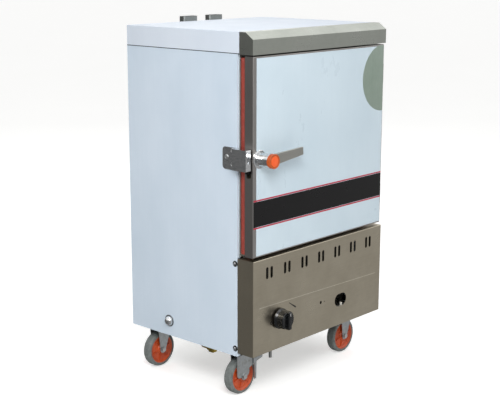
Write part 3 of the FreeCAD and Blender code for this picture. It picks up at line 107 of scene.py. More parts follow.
class Corner(str, Enum):
    """The four places a caster stands."""

    FRONT_LEFT = "front_left"
    FRONT_RIGHT = "front_right"
    REAR_LEFT = "rear_left"
    REAR_RIGHT = "rear_right"


def linear(code: str) -> Colour:
    """Turns a screen colour into the linear light that shaders use.

    Args:
        code: Six hex digits, such as "CFDBE4".

    Returns:
        Red, green, blue and a solid alpha.
    """
    channels = []
    for start in (0, 2, 4):
        value = int(code[start:start + 2], 16) / 255
        curved = ((value + SCREEN_LIFT) / (1.0 + SCREEN_LIFT)) ** SCREEN_POWER
        channels.append(value / SCREEN_SLOPE if value <= SCREEN_KNEE else curved)
    return (*channels, 1.0)


def feed(tree: bpy.types.NodeTree, node: bpy.types.Node, feeds: Mapping[Union[str, int], Feed]) -> None:
    """Sets or links the inputs of a shader node.

    Args:
        tree: The node's tree.
        node: The node.
        feeds: For each input a number, a colour or the output that feeds it.
    """
    for key, value in feeds.items():
        if isinstance(value, Socket):
            tree.links.new(value, node.inputs[key])
        else:
            node.inputs[key].default_value = value


def add_node(
    tree: bpy.types.NodeTree,
    kind: str,
    settings: Optional[Mapping[str, Any]] = None,
    feeds: Optional[Mapping[Union[str, int], Feed]] = None,
) -> bpy.types.Node:
    """Adds one shader node with its settings and links.

    Args:
        tree: The node tree to add it to.
        kind: The node's type name.
        settings: Values for the node's own properties.
        feeds: For each input a number, a colour or the output that feeds it.

    Returns:
        The new node.
    """
    node = tree.nodes.new(kind)
    for key, value in (settings or {}).items():
        setattr(node, key, value)
    feed(tree, node, feeds or {})
    return node


class Graph:
    """A node tree under construction."""

    def __init__(self, tree: bpy.types.NodeTree) -> None:
        """Starts with no nodes.

        Args:
            tree: The node tree of a material or of the sky.
        """
        self.tree = tree
        self.tree.nodes.clear()

    def between(self, value: Socket, old: Span, new: tuple[Feed, Feed]) -> Socket:
        """Moves a value from one range to another and keeps it inside.

        Args:
            value: What to move.
            old: Where the old range starts and ends.
            new: The results there.

        Returns:
            The moved value.
        """
        return add_node(self.tree, "ShaderNodeMapRange", {"clamp": True}, {
            "Value": value, "From Min": old[0], "From Max": old[1], "To Min": new[0], "To Max": new[1],
        }).outputs["Result"]

    def math(self, operation: str, first: Feed, second: Feed) -> Socket:
        """Arithmetic on two values.

        Args:
            operation: The node's name for the sum.
            first: The first value.
            second: The second value.

        Returns:
            The result.
        """
        node = add_node(self.tree, "ShaderNodeMath", {"operation": operation}, {0: first, 1: second})
        return node.outputs["Value"]


class Recipe(Graph):
    """A material under construction."""

    def __init__(self, name: str) -> None:
        """Starts an empty material.

        Args:
            name: What the real material is and how its surface was made.
        """
        self.material = bpy.data.materials.new(name)
        self.material.use_nodes = True
        super().__init__(self.material.node_tree)
        self.shader = add_node(self.tree, "ShaderNodeBsdfPrincipled")
        add_node(self.tree, "ShaderNodeOutputMaterial", None, {"Surface": self.shader.outputs["BSDF"]})
        self.place = add_node(self.tree, "ShaderNodeTexCoord").outputs["Object"]
        self.drawn: dict["Pattern", Socket] = {}

    def draw(self, pattern: "Pattern") -> Socket:
        """The value of a pattern, drawn once however often it is asked for.

        Args:
            pattern: Which pattern.

        Returns:
            Its value.
        """
        if pattern not in self.drawn:
            self.drawn[pattern] = pattern.draw(self)
        return self.drawn[pattern]

    def grid(self, size: float, output: str) -> Socket:
        """Scattered cells, each round its own middle.

        Args:
            size: How far apart the middles lie, in millimetres.
            output: "Color" for a grey of its own, or "Distance" from the middle.

        Returns:
            The value of the cell.
        """
        feeds = {"Vector": self.place, "Scale": 1.0 / (size * MM)}
        return add_node(self.tree, "ShaderNodeTexVoronoi", {"feature": "F1"}, feeds).outputs[output]

    def mixed(self, share: Feed, first: Feed, second: Feed) -> Socket:
        """A blend of two colours.

        Args:
            share: How much of the second colour there is.
            first: The colour at nothing.
            second: The colour at one.

        Returns:
            The blended colour.
        """
        feeds = {MIX_SHARE: share, MIX_FIRST: first, MIX_SECOND: second}
        return add_node(self.tree, "ShaderNodeMix", {"data_type": "RGBA"}, feeds).outputs[MIX_RESULT]

    def relief(self, height: Socket, depth: float, under: Optional[Socket]) -> Socket:
        """Turns a pattern into a surface that is raised and sunk.

        Args:
            height: The pattern.
            depth: From its lowest to its highest point, in millimetres.
            under: An earlier relief that this one lies on.

        Returns:
            The surface direction.
        """
        feeds: dict[Union[str, int], Feed] = {"Height": height, "Distance": depth * MM, "Strength": 1.0}
        if under is not None:
            feeds["Normal"] = under
        return add_node(self.tree, "ShaderNodeBump", None, feeds).outputs["Normal"]


@dataclass(frozen=True)
class Cloud:
    """A soft irregular pattern that wanders about one half.

    Attributes:
        size: How wide one patch is, in millimetres.
        repeat: How often it repeats on each axis, for a drawn-out pattern.
        detail: How many finer layers it has.
        strength: How strong the finer layers are.
    """

    size: float
    repeat: Three = EVEN
    detail: float = 3.0
    strength: float = 0.5

    def draw(self, recipe: Recipe) -> Socket:
        """Adds the pattern to a material.

        Args:
            recipe: The material.

        Returns:
            The pattern's value.
        """
        feeds = {"Vector": recipe.place, "Scale": self.repeat}
        place = add_node(recipe.tree, "ShaderNodeMapping", None, feeds)
        return add_node(recipe.tree, "ShaderNodeTexNoise", None, {
            "Vector": place.outputs["Vector"],
            "Scale": 1.0 / (self.size * MM),
            "Detail": self.detail,
            "Roughness": self.strength,
        }).outputs["Fac"]


@dataclass(frozen=True)
class Grains:
    """Crystals side by side, each with a grey of its own.

    Attributes:
        size: How wide one crystal is, in millimetres.
    """

    size: float

    def draw(self, recipe: Recipe) -> Socket:
        """Adds the pattern to a material.

        Args:
            recipe: The material.

        Returns:
            The crystal's grey.
        """
        return recipe.grid(self.size, "Color")


@dataclass(frozen=True)
class Spots:
    """Scattered round marks, one inside a mark and nothing outside.

    Attributes:
        size: How far apart they lie, in millimetres.
        radius: How large a mark is, as a part of that distance.
        core: The part of the radius inside which a mark is full.
    """

    size: float
    radius: float
    core: float = 0.6

    def draw(self, recipe: Recipe) -> Socket:
        """Adds the pattern to a material.

        Args:
            recipe: The material.

        Returns:
            The mark's value.
        """
        rim = (self.radius * self.core, self.radius)
        return recipe.between(recipe.grid(self.size, "Distance"), rim, (1.0, 0.0))


Pattern = Union[Cloud, Grains, Spots]


@dataclass(frozen=True)
class Veil:
    """A colour that lies over another where a pattern is strong.

    Attributes:
        pattern: Where it lies.
        span: The pattern's values where the veil starts and where it is full.
        share: How much of its colour shows where it is full.
        tint: Its colour, or nothing for the finish's own dark colour.
        dulls: How much rougher it makes the surface.
    """

    pattern: Pattern
    span: Span
    share: float
    tint: Optional[str] = None
    dulls: float = 0.0


@dataclass(frozen=True)
class Process:
    """How a surface was made, whatever its colours.

    Attributes:
        tone: The pattern between the light and the dark colour.
        gloss: How rough it is where the pattern is weak and where it is strong.
        reliefs: Patterns with their depths in millimetres, the lowest first.
        veils: Stains, dust and wear, the lowest first.
        toned: The tone's values where it is quite light and quite dark.
        glossed: The values between which the gloss changes.
        tone_share: How much of the dark colour shows where it is quite dark.
        sheen: The pattern of the gloss, where it isn't the tone's.
        metallic: How much of it is bare metal.
        specular: How strongly it shines.
        coat: How much of a clear glaze lies on it.
    """

    tone: Pattern
    gloss: Span
    reliefs: tuple[tuple[Pattern, float], ...]
    veils: tuple[Veil, ...] = ()
    toned: Span = (0.3, 0.7)
    glossed: Span = (0.3, 0.7)
    tone_share: float = 1.0
    sheen: Optional[Pattern] = None
    metallic: float = 0.0
    specular: float = 0.5
    coat: float = 0.0


@dataclass(frozen=True)
class Finish:
    """One real material in its own colours.

    Attributes:
        name: What it is and how its surface was made.
        light: Its light colour.
        dark: Its dark colour.
        process: How its surface was made.
        gloss: Its own roughness, where the process is smoother or duller here.
        glow: How much light the camera sees come out of it.
    """

    name: str
    light: str
    dark: str
    process: Process
    gloss: Optional[Span] = None
    glow: float = 0.0

    def make(self) -> bpy.types.Material:
        """Builds the material.

        Returns:
            The material, ready to be put on a piece.
        """
        recipe = Recipe(self.name)
        made = self.process
        light, dark = linear(self.light), linear(self.dark)
        gloss = self.gloss or made.gloss
        tone = recipe.between(recipe.draw(made.tone), made.toned, (0.0, made.tone_share))
        colour = recipe.mixed(tone, light, dark)
        rough: Feed = gloss[0]
        if gloss[0] != gloss[1]:
            rough = recipe.between(recipe.draw(made.sheen or made.tone), made.glossed, gloss)
        for veil in made.veils:
            share = recipe.between(recipe.draw(veil.pattern), veil.span, (0.0, veil.share))
            colour = recipe.mixed(share, colour, linear(veil.tint) if veil.tint else dark)
            if veil.dulls:
                rough = recipe.math("ADD", rough, recipe.math("MULTIPLY", share, veil.dulls))
        normal = None
        for pattern, depth in made.reliefs:
            normal = recipe.relief(recipe.draw(pattern), depth, normal)
        feed(recipe.tree, recipe.shader, {
            "Base Color": colour,
            "Roughness": rough,
            "Normal": normal,
            "Metallic": made.metallic,
            "Specular IOR Level": made.specular,
            "Coat Weight": made.coat,
        })
        if self.glow:
            seen = add_node(recipe.tree, "ShaderNodeLightPath").outputs["Is Camera Ray"]
            strength = recipe.math("MULTIPLY", seen, self.glow)
            feed(recipe.tree, recipe.shader, {"Emission Color": light, "Emission Strength": strength})
        return recipe.material


def brushed(grain: Axis) -> Process:
    """Stainless sheet brushed with a belt.

    Fine scratches all one way draw every light out into a soft streak, and
    hands and cloths leave broad cloudy patches a little duller than the rest.

    Args:
        grain: The way the belt ran.

    Returns:
        The process.
    """
    scratches = Cloud(0.7, grain.stretch(70.0), detail=2.0, strength=0.6)
    return Process(
        tone=Cloud(120.0, detail=4.0, strength=0.6),
        gloss=(0.22, 0.40),
        reliefs=((Cloud(170.0, detail=1.0, strength=0.4), 0.12), (scratches, 0.006)),
        veils=(
            Veil(Cloud(9.0, grain.stretch(24.0), strength=0.6), (0.35, 0.75), 0.35),
            Veil(scratches, (0.8, 0.2), 0.18, "4A463F", dulls=0.5),
        ),
        metallic=1.0,
    )


def rolled(grain: Axis = Axis.Z, stain: str = "6D675C") -> Process:
    """Steel as it leaves the rolling mill.

    It has the even grey of cold rolling, faint roll lines, and cloudy stains
    from oil and handling that nobody polished away.

    Args:
        grain: The way it was rolled.
        stain: The colour of the stains.

    Returns:
        The process.
    """
    lines = Cloud(2.4, grain.stretch(50.0), detail=2.0)
    return Process(
        tone=Cloud(80.0, detail=5.0, strength=0.62),
        gloss=(0.34, 0.5),
        reliefs=((lines, 0.012),),
        veils=(
            Veil(Cloud(36.0, detail=4.0, strength=0.65), (0.56, 0.8), 0.16, stain, dulls=0.18),
            Veil(lines, (0.3, 0.75), 0.16, stain),
        ),
        metallic=1.0,
    )


def moulded(scuff: str = "7C7F82", share: float = 0.16) -> Process:
    """Hard plastic from an injection mould.

    The mould's sparked texture breaks up the shine, and the colour flows a
    little lighter and darker from the gate.

    Args:
        scuff: The colour of its scuffs.
        share: How much they show.

    Returns:
        The process.
    """
    scuffs = Cloud(6.0, (1.0, 0.2, 1.0), detail=6.0, strength=0.75)
    return Process(
        tone=Cloud(28.0),
        gloss=(0.26, 0.44),
        reliefs=((Cloud(0.55, detail=2.0), 0.014),),
        veils=(Veil(scuffs, (0.6, 0.8), share, scuff, dulls=0.8),),
    )


def printed(shine: float = 0.5) -> Process:
    """Ink or vinyl laid on the sheet, a little thin in places, with specks of dust.

    Args:
        shine: How strongly it shines.

    Returns:
        The process.
    """
    return Process(
        tone=Cloud(45.0, (0.5, 1.0, 1.0), detail=5.0, strength=0.62),
        gloss=(0.24, 0.38),
        reliefs=((Cloud(1.2, strength=0.6), 0.005),),
        veils=(Veil(Spots(13.0, 0.04), WHOLE, 0.3, "9A9C9E"),),
        specular=shine,
    )


# Milky film over sheet steel, with soft clouds, a ripple over trapped air and specks of dust
FILM = Process(
    tone=Cloud(240.0, (1.0, 1.0, 0.6), detail=4.0, strength=0.55),
    toned=(0.32, 0.68),
    gloss=(0.30, 0.46),
    sheen=Cloud(60.0, (1.0, 1.0, 0.4), detail=4.0, strength=0.6),
    reliefs=(
        (Cloud(26.0, (1.0, 1.0, 0.5), detail=2.0, strength=0.4), 0.03),
        (Cloud(1.6, detail=2.0), 0.004),
    ),
    veils=(
        Veil(Cloud(7.0, Axis.Z.stretch(60.0), detail=2.0), (0.45, 0.75), 0.22),
        Veil(Spots(19.0, 0.035), WHOLE, 0.35, "8D949A"),
    ),
    specular=0.45,
)

# Chrome over a casting buffed by hand, a little wavy, with pits and grey smears from fingers
CHROMED = Process(
    tone=Cloud(14.0, (1.0, 1.0, 2.5), detail=5.0, strength=0.65),
    toned=(0.4, 0.75),
    gloss=(0.07, 0.22),
    glossed=(0.35, 0.75),
    reliefs=((Cloud(14.0, detail=2.0), 0.012), (Spots(3.6, 0.05), -0.004)),
    metallic=1.0,
)

# Silicone cured in a mould, dense and matte, with pale dust that clings in patches
SILICONE = Process(
    tone=Cloud(34.0, (1.0, 1.0, 0.4), detail=4.0, strength=0.6),
    gloss=(0.5, 0.66),
    reliefs=((Cloud(0.9, strength=0.6), 0.02), (Cloud(18.0, detail=1.0), 0.25)),
    veils=(Veil(Cloud(11.0, detail=5.0, strength=0.7), (0.56, 0.82), 0.45, "C59A90"),),
    specular=0.35,
)

# Pressed mineral wool, fuzzy with short fibres, with darker crumbs of slag
FIBRES = Cloud(2.2, (1.0, 1.0, 4.0), detail=6.0, strength=0.75)
PRESSED_WOOL = Process(
    tone=FIBRES,
    gloss=(0.86, 0.98),
    reliefs=((FIBRES, 0.8),),
    veils=(Veil(Spots(9.0, 0.09), WHOLE, 0.7, "5A4F3C"),),
    specular=0.2,
)

# Grey iron cast in sand, pebbled, with a bloom of rust where the heat turned it brown
SAND_CAST = Process(
    tone=Cloud(22.0, detail=6.0, strength=0.7),
    toned=(0.35, 0.7),
    gloss=(0.62, 0.86),
    reliefs=((Cloud(1.4, detail=4.0, strength=0.6), 0.18),),
    veils=(Veil(Cloud(40.0, detail=6.0, strength=0.72), (0.56, 0.75), 0.7, "6B4029"),),
    metallic=0.25,
)

# Bar turned on a lathe, with tool rings and the tarnish of fingers and damp air
TURNED = Process(
    tone=Cloud(9.0, detail=5.0, strength=0.65),
    toned=(0.35, 0.7),
    gloss=(0.2, 0.5),
    glossed=(0.35, 0.7),
    reliefs=((Cloud(0.6, Axis.X.stretch(30.0), detail=2.0), 0.01),),
    metallic=1.0,
)

# Grey rubber moulded onto the wheel, dull, with ground-in dust and scuffs round the tread
RUBBER = Process(
    tone=Cloud(20.0, detail=5.0, strength=0.65),
    gloss=(0.68, 0.88),
    reliefs=((Cloud(1.1, detail=4.0, strength=0.65), 0.06),),
    veils=(Veil(Cloud(5.0, (1.0, 2.5, 1.0), detail=6.0, strength=0.7), (0.55, 0.8), 0.55, "A9A79F"),),
    specular=0.3,
)

# Zinc plate grown in small crystals, under a thin yellowish bloom that dulls it
ZINC_PLATED = Process(
    tone=Grains(5.5),
    toned=WHOLE,
    tone_share=0.7,
    gloss=(0.28, 0.42),
    glossed=WHOLE,
    reliefs=((Cloud(1.3, strength=0.6), 0.012),),
    veils=(Veil(Cloud(17.0, detail=5.0, strength=0.68), (0.5, 0.75), 0.5, "8F8C7C", dulls=0.3),),
    metallic=1.0,
)

# Steel blackened in a hot salt bath, softly oily, with bare metal on a few rubbed spots
HOT_BLACKED = Process(
    tone=Cloud(12.0, detail=4.0, strength=0.6),
    gloss=(0.3, 0.5),
    reliefs=((Cloud(0.8, strength=0.6), 0.015),),
    veils=(Veil(Cloud(4.0, detail=6.0, strength=0.7), (0.66, 0.8), 0.6, "7A7874"),),
    metallic=0.7,
)

# Thick glassy glaze with pinholes, and a tan tint where it pooled
GLAZED = Process(
    tone=Cloud(10.0, (1.0, 0.5, 1.0)),
    toned=(0.35, 0.7),
    gloss=(0.12, 0.22),
    reliefs=((Cloud(3.0, detail=2.0), 0.02),),
    veils=(Veil(Spots(2.2, 0.07), WHOLE, 0.6, "7D7160"),),
    coat=0.5,
)

# Floor paint rolled on in one coat
ROLLED_PAINT = Process(
    tone=Cloud(900.0),
    gloss=(0.7, 0.7),
    reliefs=((Cloud(4.0, detail=2.0), 0.02),),
    specular=0.2,
)


class Paint(Enum):
    """Every finish on the steamer, by the piece it is made for."""

    SIDE_FILM = Finish("Film_over_side_sheet", "CEDAE6", "C3D1DE", FILM)
    DOOR_FILM = Finish("Film_over_door_sheet", "CAD9E2", "C1D1DB", FILM, (0.26, 0.42))
    COVER = Finish("Film_over_top_sheet", "D4DCE6", "CCD5E0", FILM, (0.46, 0.62))
    PANEL_STEEL = Finish("Stainless_panel_belt_brushed", "CEC5B1", "BCB3A0", brushed(Axis.X))
    VISOR_STEEL = Finish("Stainless_visor_belt_brushed", "C3C7BF", "B0B4AC", brushed(Axis.X))
    DOOR_STEEL = Finish("Stainless_door_shell_brushed", "BFBBB8", "A9A6A3", brushed(Axis.Z))
    DISC_STEEL = Finish("Stainless_bare_disc_brushed", "CFE0D3", "B9CCBD", brushed(Axis.Z), (0.26, 0.40))
    LEVER_STEEL = Finish("Steel_lever_linished", "C6C5BF", "B1B0AA", brushed(Axis.X), (0.26, 0.38))
    # Painted reflection: a light line across the lower panel, standing in for a reflection on the steel
    SCRATCH = Finish("Stainless_panel_painted_reflection_line", "F4EEDF", "E6DFCC", brushed(Axis.X), (0.38, 0.54))
    CHAMBER_STEEL = Finish("Stainless_chamber_rolled", "D2D2CE", "C6C6C1", rolled(stain="A09B90"))
    REAR_STEEL = Finish("Stainless_rear_rolled", "CBCBC6", "BCBCB6", rolled(stain="8B867B"))
    RACK_STEEL = Finish("Stainless_rack_pressed", "CDCDC8", "BFBFB9", rolled(Axis.Y))
    DUCT_STEEL = Finish("Galvanised_duct_folded", "9CA09E", "898D8B", rolled(stain="7E796D"))
    PIPE_STEEL = Finish("Steel_tube_drawn", "BDBEBC", "A2A3A1", rolled(Axis.Y), (0.28, 0.45))
    RAIL_STEEL = Finish("Steel_rail_folded", "A3A19B", "8A8882", rolled(Axis.Y))
    WELD = Finish("Weld_bead_ground", "A29D93", "7E7A72", rolled(stain="5F5344"), (0.32, 0.5))
    CHROME = Finish("Chrome_over_polished_casting", "E2E3E4", "C0C3C6", CHROMED)
    SEAL = Finish("Silicone_seal_moulded", "9E4135", "86352D", SILICONE)
    BOARD = Finish("Mineral_wool_pressed", "CFC4A4", "A99D7C", PRESSED_WOOL)
    IRON = Finish("Grey_iron_sand_cast", "4C4B49", "2E2D2C", SAND_CAST)
    BRASS = Finish("Brass_turned", "D2BC62", "93803A", TURNED)
    KNOB_BLACK = Finish("Black_knob_moulded", "131517", "0A0B0D", moulded(share=0.05), (0.16, 0.3))
    ORANGE = Finish("Orange_wheel_moulded", "CC5527", "B0431C", moulded("D9A48A"))
    CAP_ORANGE = Finish("Orange_cap_moulded", "F2662C", "E2561F", moulded("FFB08A"), (0.24, 0.38))
    # Painted shade: a darker copy of the cap's orange for its rim and dish
    CAP_RIM = Finish("Orange_cap_rim_painted_shade", "C4581F", "A64614", moulded("D99A78"))
    # Painted shade: black for the dark rings of shade round the side screws and the side port
    WASHER = Finish("Black_painted_shade_ring", "232426", "161718", moulded(), (0.45, 0.6))
    # Painted shadow: dark grey for the shadow line under the top cover
    SEALANT = Finish("Grey_painted_seam_shadow", "3A4045", "2A2F33", moulded(), (0.45, 0.6))
    TYRE = Finish("Grey_tyre_rubber_moulded", "7E8381", "5F6462", RUBBER)
    ZINC = Finish("Zinc_plated_fork_pressed", "C3C7C8", "A9ADAF", ZINC_PLATED)
    NUT_ZINC = Finish("Zinc_plated_nut_bright", "DDDFDF", "C4C7C8", ZINC_PLATED)
    BLACKED = Finish("Blacked_steel_oiled", "262627", "151516", HOT_BLACKED)
    CERAMIC = Finish("White_insulator_glazed", "EDEBE3", "DCD5C3", GLAZED)
    BAND_BLACK = Finish("Black_band_vinyl", "0C0B0D", "080708", printed(0.28))
    BAND_RED = Finish("Red_line_vinyl", "B92F45", "A3263B", printed(), (0.3, 0.42))
    MARK_INK = Finish("Black_mark_screen_printed", "1E1C1A", "141311", printed(), (0.45, 0.6))
    # Pale pointer print, partly a painted highlight on the knob's grip
    POINTER = Finish("White_pointer_pad_and_painted_highlight", "D9DADA", "C2C4C4", printed(), (0.4, 0.55))
    # Painted shade: dark for the shade inside the screws' cross recesses
    RECESS = Finish("Painted_shade_drive_recess", "1F1F20", "131314", printed(), (0.5, 0.7))
    FLOOR = Finish("Studio_floor_paint", "F6F6F5", "F3F3F2", ROLLED_PAINT, glow=0.5)


class Palette:
    """Makes each material once and hands it out."""

    def __init__(self) -> None:
        """Starts with nothing made."""
        self.made: dict[Paint, bpy.types.Material] = {}

    def material(self, paint: Paint) -> bpy.types.Material:
        """The material of one finish.

        Args:
            paint: Which finish.

        Returns:
            The material, built on the first call.
        """
        if paint not in self.made:
            self.made[paint] = paint.value.make()
        return self.made[paint]


def start_clean() -> None:
    """Leaves edit mode and selects nothing, so that the next step meets only its own piece."""
    if bpy.context.object is not None and bpy.context.object.mode != "OBJECT":
        bpy.ops.object.mode_set(mode="OBJECT")
    bpy.ops.object.select_all(action="DESELECT")


def choose(piece: Piece) -> None:
    """Selects one piece alone.

    Args:
        piece: The piece.
    """
    start_clean()
    piece.select_set(True)
    bpy.context.view_layer.objects.active = piece


def rename(piece: Piece, name: str) -> Piece:
    """Gives a piece and its mesh the same name.

    Args:
        piece: The piece.
        name: Its name.

    Returns:
        The same piece.
    """
    piece.name = name
    piece.data.name = name
    return piece


def settle(name: str) -> Piece:
    """Puts a new piece's place and turn into its mesh and names it.

    Args:
        name: The piece's name.

    Returns:
        The active piece.
    """
    bpy.ops.object.transform_apply(location=True, rotation=True, scale=True)
    return rename(bpy.context.active_object, name)


def open_part(piece: Piece, chosen: Callable[[Vector], bool]) -> None:
    """Opens a piece in edit mode with a part of it selected.

    Args:
        piece: The piece.
        chosen: Says for the place of a corner whether it is in the part.
    """
    choose(piece)
    mesh = piece.data
    for corner in mesh.vertices:
        corner.select = chosen(corner.co)
    for part in (*mesh.edges, *mesh.polygons):
        part.select = all(mesh.vertices[index].select for index in part.vertices)
    bpy.ops.object.mode_set(mode="EDIT")


def round_edges(piece: Piece, radius: float, segments: int = 2, angle: float = 40.0) -> None:
    """Bevels the sharp edges of a piece.

    Args:
        piece: The piece.
        radius: How far the bevel reaches, in metres.
        segments: How many strips it has.
        angle: How sharp an edge must be, in degrees.
    """
    choose(piece)
    bpy.ops.object.mode_set(mode="EDIT")
    bpy.ops.mesh.select_mode(type="EDGE")
    bpy.ops.mesh.select_all(action="DESELECT")
    bpy.ops.mesh.edges_select_sharp(sharpness=math.radians(angle))
    bpy.ops.mesh.bevel(offset=radius, segments=segments, affect="EDGES")
    bpy.ops.object.mode_set(mode="OBJECT")


def smooth(piece: Piece, angle: float = 32.0) -> Piece:
    """Shades round faces smooth and keeps edges crisp.

    Args:
        piece: The piece.
        angle: How sharp an edge stays crisp, in degrees.

    Returns:
        The same piece.
    """
    choose(piece)
    bpy.ops.object.shade_smooth_by_angle(angle=math.radians(angle))
    return piece


def block(name: str, low: Vector, high: Vector, edge: float = 0.0, turn: Three = (0.0, 0.0, 0.0)) -> Piece:
    """A rectangular piece between two corners.

    Args:
        name: The piece's name.
        low: Its lowest corner before any turn.
        high: Its highest corner before any turn.
        edge: How far its edges are rounded.
        turn: How it is turned about its own middle, in radians.

    Returns:
        The piece.
    """
    start_clean()
    middle = (low + high) / 2
    bpy.ops.mesh.primitive_cube_add(size=1.0, location=middle, rotation=Euler(turn), scale=high - low)
    piece = settle(name)
    if edge > 0.0:
        round_edges(piece, edge)
    return piece


@dataclass(frozen=True)
class Round:
    """The size of a round head, plate or pin.

    Attributes:
        radius: Its radius.
        depth: How thick it is along its axis.
        edge: How far its rims are rounded.
        facets: How many sides the round has.
    """

    radius: float
    depth: float
    edge: float = 0.0
    facets: int = 48


def joined(name: str, pieces: Sequence[Piece]) -> Piece:
    """One piece out of several that belong together.

    Args:
        name: The new piece's name.
        pieces: What goes into it.

    Returns:
        The joined piece.
    """
    choose(pieces[0])
    for piece in pieces:
        piece.select_set(True)
    if len(pieces) > 1:
        bpy.ops.object.join()
    return rename(bpy.context.view_layer.objects.active, name)


def discs(name: str, size: Round, centres: Iterable[Vector], axis: Axis) -> Piece:
    """Equal round plates, pins or heads, as one piece.

    Args:
        name: The piece's name.
        size: The size of each.
        centres: The middle of each.
        axis: The way they face.

    Returns:
        The piece.
    """
    pieces = []
    for count, centre in enumerate(centres):
        start_clean()
        bpy.ops.mesh.primitive_cylinder_add(
            vertices=size.facets, radius=size.radius, depth=size.depth, location=centre, rotation=axis.turn()
        )
        piece = settle(f"{name}_{count}")
        if size.edge > 0.0:
            round_edges(piece, size.edge)
        pieces.append(smooth(piece))
    return joined(name, pieces)


def hoops(
    name: str, centres: Iterable[Vector], radius: float, wire: float, axis: Axis, facets: int = 72
) -> Piece:
    """Equal round beads, as one piece.

    Args:
        name: The piece's name.
        centres: The middle of each hoop.
        radius: To the middle of the bead.
        wire: The bead's own radius.
        axis: The way the hoops face.
        facets: How many sides a hoop has.

    Returns:
        The piece.
    """
    pieces = []
    for count, centre in enumerate(centres):
        start_clean()
        bpy.ops.mesh.primitive_torus_add(
            major_radius=radius, minor_radius=wire, major_segments=facets, minor_segments=WIRE_FACETS,
            location=centre, rotation=axis.turn(),
        )
        pieces.append(smooth(settle(f"{name}_{count}")))
    return joined(name, pieces)


def spokes(
    name: str, hubs: Iterable[Vector], radius: float, half: Vector, edge: float, angles: Sequence[float]
) -> Piece:
    """Bars set round hubs that face along Y, as one piece.

    Args:
        name: The piece's name.
        hubs: The middle of each hub.
        radius: From a hub's middle to the middle of a bar.
        half: Half the size of a bar that points along X.
        edge: How far the edges are rounded.
        angles: Where the bars stand, in radians.

    Returns:
        The piece.
    """
    pieces = []
    for hub in hubs:
        for angle in angles:
            centre = hub + radius * Vector((math.cos(angle), 0.0, math.sin(angle)))
            turn = (0.0, -angle, 0.0)
            pieces.append(block(f"{name}_{len(pieces)}", centre - half, centre + half, edge, turn))
    return joined(name, pieces)


def bars(name: str, corners: Iterable[tuple[Vector, Vector]], edge: float) -> Piece:
    """Several rectangular bars, as one piece.

    Args:
        name: The piece's name.
        corners: The lowest and the highest corner of each bar.
        edge: How far their edges are rounded.

    Returns:
        The piece.
    """
    return joined(name, [block(f"{name}_{count}", *pair, edge) for count, pair in enumerate(corners)])


def cut_off(piece: Piece, place: Vector, facing: Vector) -> None:
    """Cuts a piece at a plane and closes the cut.

    Args:
        piece: The piece.
        place: A point on the plane.
        facing: The side that is taken away.
    """
    choose(piece)
    bpy.ops.object.mode_set(mode="EDIT")
    bpy.ops.mesh.select_all(action="SELECT")
    bpy.ops.mesh.bisect(plane_co=place, plane_no=facing, use_fill=True, clear_outer=True)
    bpy.ops.object.mode_set(mode="OBJECT")


def about(centre: Vector, change: Matrix) -> Matrix:
    """A change of shape or turn about a point.

    Args:
        centre: The point that stays where it is.
        change: The change about the origin.

    Returns:
        The change about the point.
    """
    return Matrix.Translation(centre) @ change @ Matrix.Translation(-centre)


@dataclass(frozen=True)
class Cross:
    """The cross in a screw head, as two thin bars on its tip, painted dark as the shade inside the recess.

    Attributes:
        arm: Half the length of a bar.
        slot: Half its width.
        depth: How far a bar reaches to both sides of its middle.
        sunk: How much of that depth its middle lies inside the tip.
    """

    arm: float
    slot: float
    depth: float
    sunk: float = 0.8

    def corners(self, tip: Vector, outward: float) -> list[tuple[Vector, Vector]]:
        """Where the two bars lie on a head that faces along X.

        Args:
            tip: The outermost point of the head.
            outward: Plus or minus one along X.

        Returns:
            The lowest and the highest corner of each bar.
        """
        centre = tip - Vector((outward * self.depth * self.sunk, 0.0, 0.0))
        halves = (Vector((self.depth, self.arm, self.slot)), Vector((self.depth, self.slot, self.arm)))
        return [(centre - half, centre + half) for half in halves]


@dataclass
class SubAssembly:
    """A group of pieces that are made, dressed and fitted together.

    Attributes:
        finishes: The finish of each solid piece from the frame.
        palette: Where its materials come from.
    """

    finishes: ClassVar[Mapping[str, Paint]] = {}
    palette: Palette

    def build(self) -> None:
        """Makes the finer pieces that the frame doesn't have."""

    def dress(self) -> None:
        """Puts each frame piece's finish on it."""
        for name, paint in self.finishes.items():
            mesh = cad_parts[name].data
            mesh.materials.clear()
            mesh.materials.append(self.palette.material(paint))
            LOG.info("dressed %s in %s", name, paint.value.name)

    def pick_out(self, mesh: bpy.types.Mesh, paint: Paint, chosen: Callable[[Vector], bool]) -> None:
        """Gives some faces of a piece a finish of their own.

        Args:
            mesh: The piece's mesh.
            paint: The finish of the chosen faces.
            chosen: Says for the middle of a face whether it takes the finish.
        """
        mesh.materials.append(self.palette.material(paint))
        faces = [face for face in mesh.polygons if chosen(face.center)]
        for face in faces:
            face.material_index = len(mesh.materials) - 1
        LOG.info("picked out %d faces of %s in %s", len(faces), mesh.name, paint.value.name)

    def fit(self, piece: Piece, paint: Paint, body: str, slot: str) -> None:
        """Finishes a new piece and fixes it to its body.

        Args:
            piece: The new piece, in its place.
            paint: Its finish.
            body: The body that carries it.
            slot: The name of the material slot it follows; not used.
        """
        mesh = piece.data
        mesh.materials.clear()
        mesh.materials.append(self.palette.material(paint))
        for face in mesh.polygons:
            face.material_index = 0
        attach(piece, body)
        LOG.info("fitted %s to %s, %d faces", piece.name, body, len(mesh.polygons))


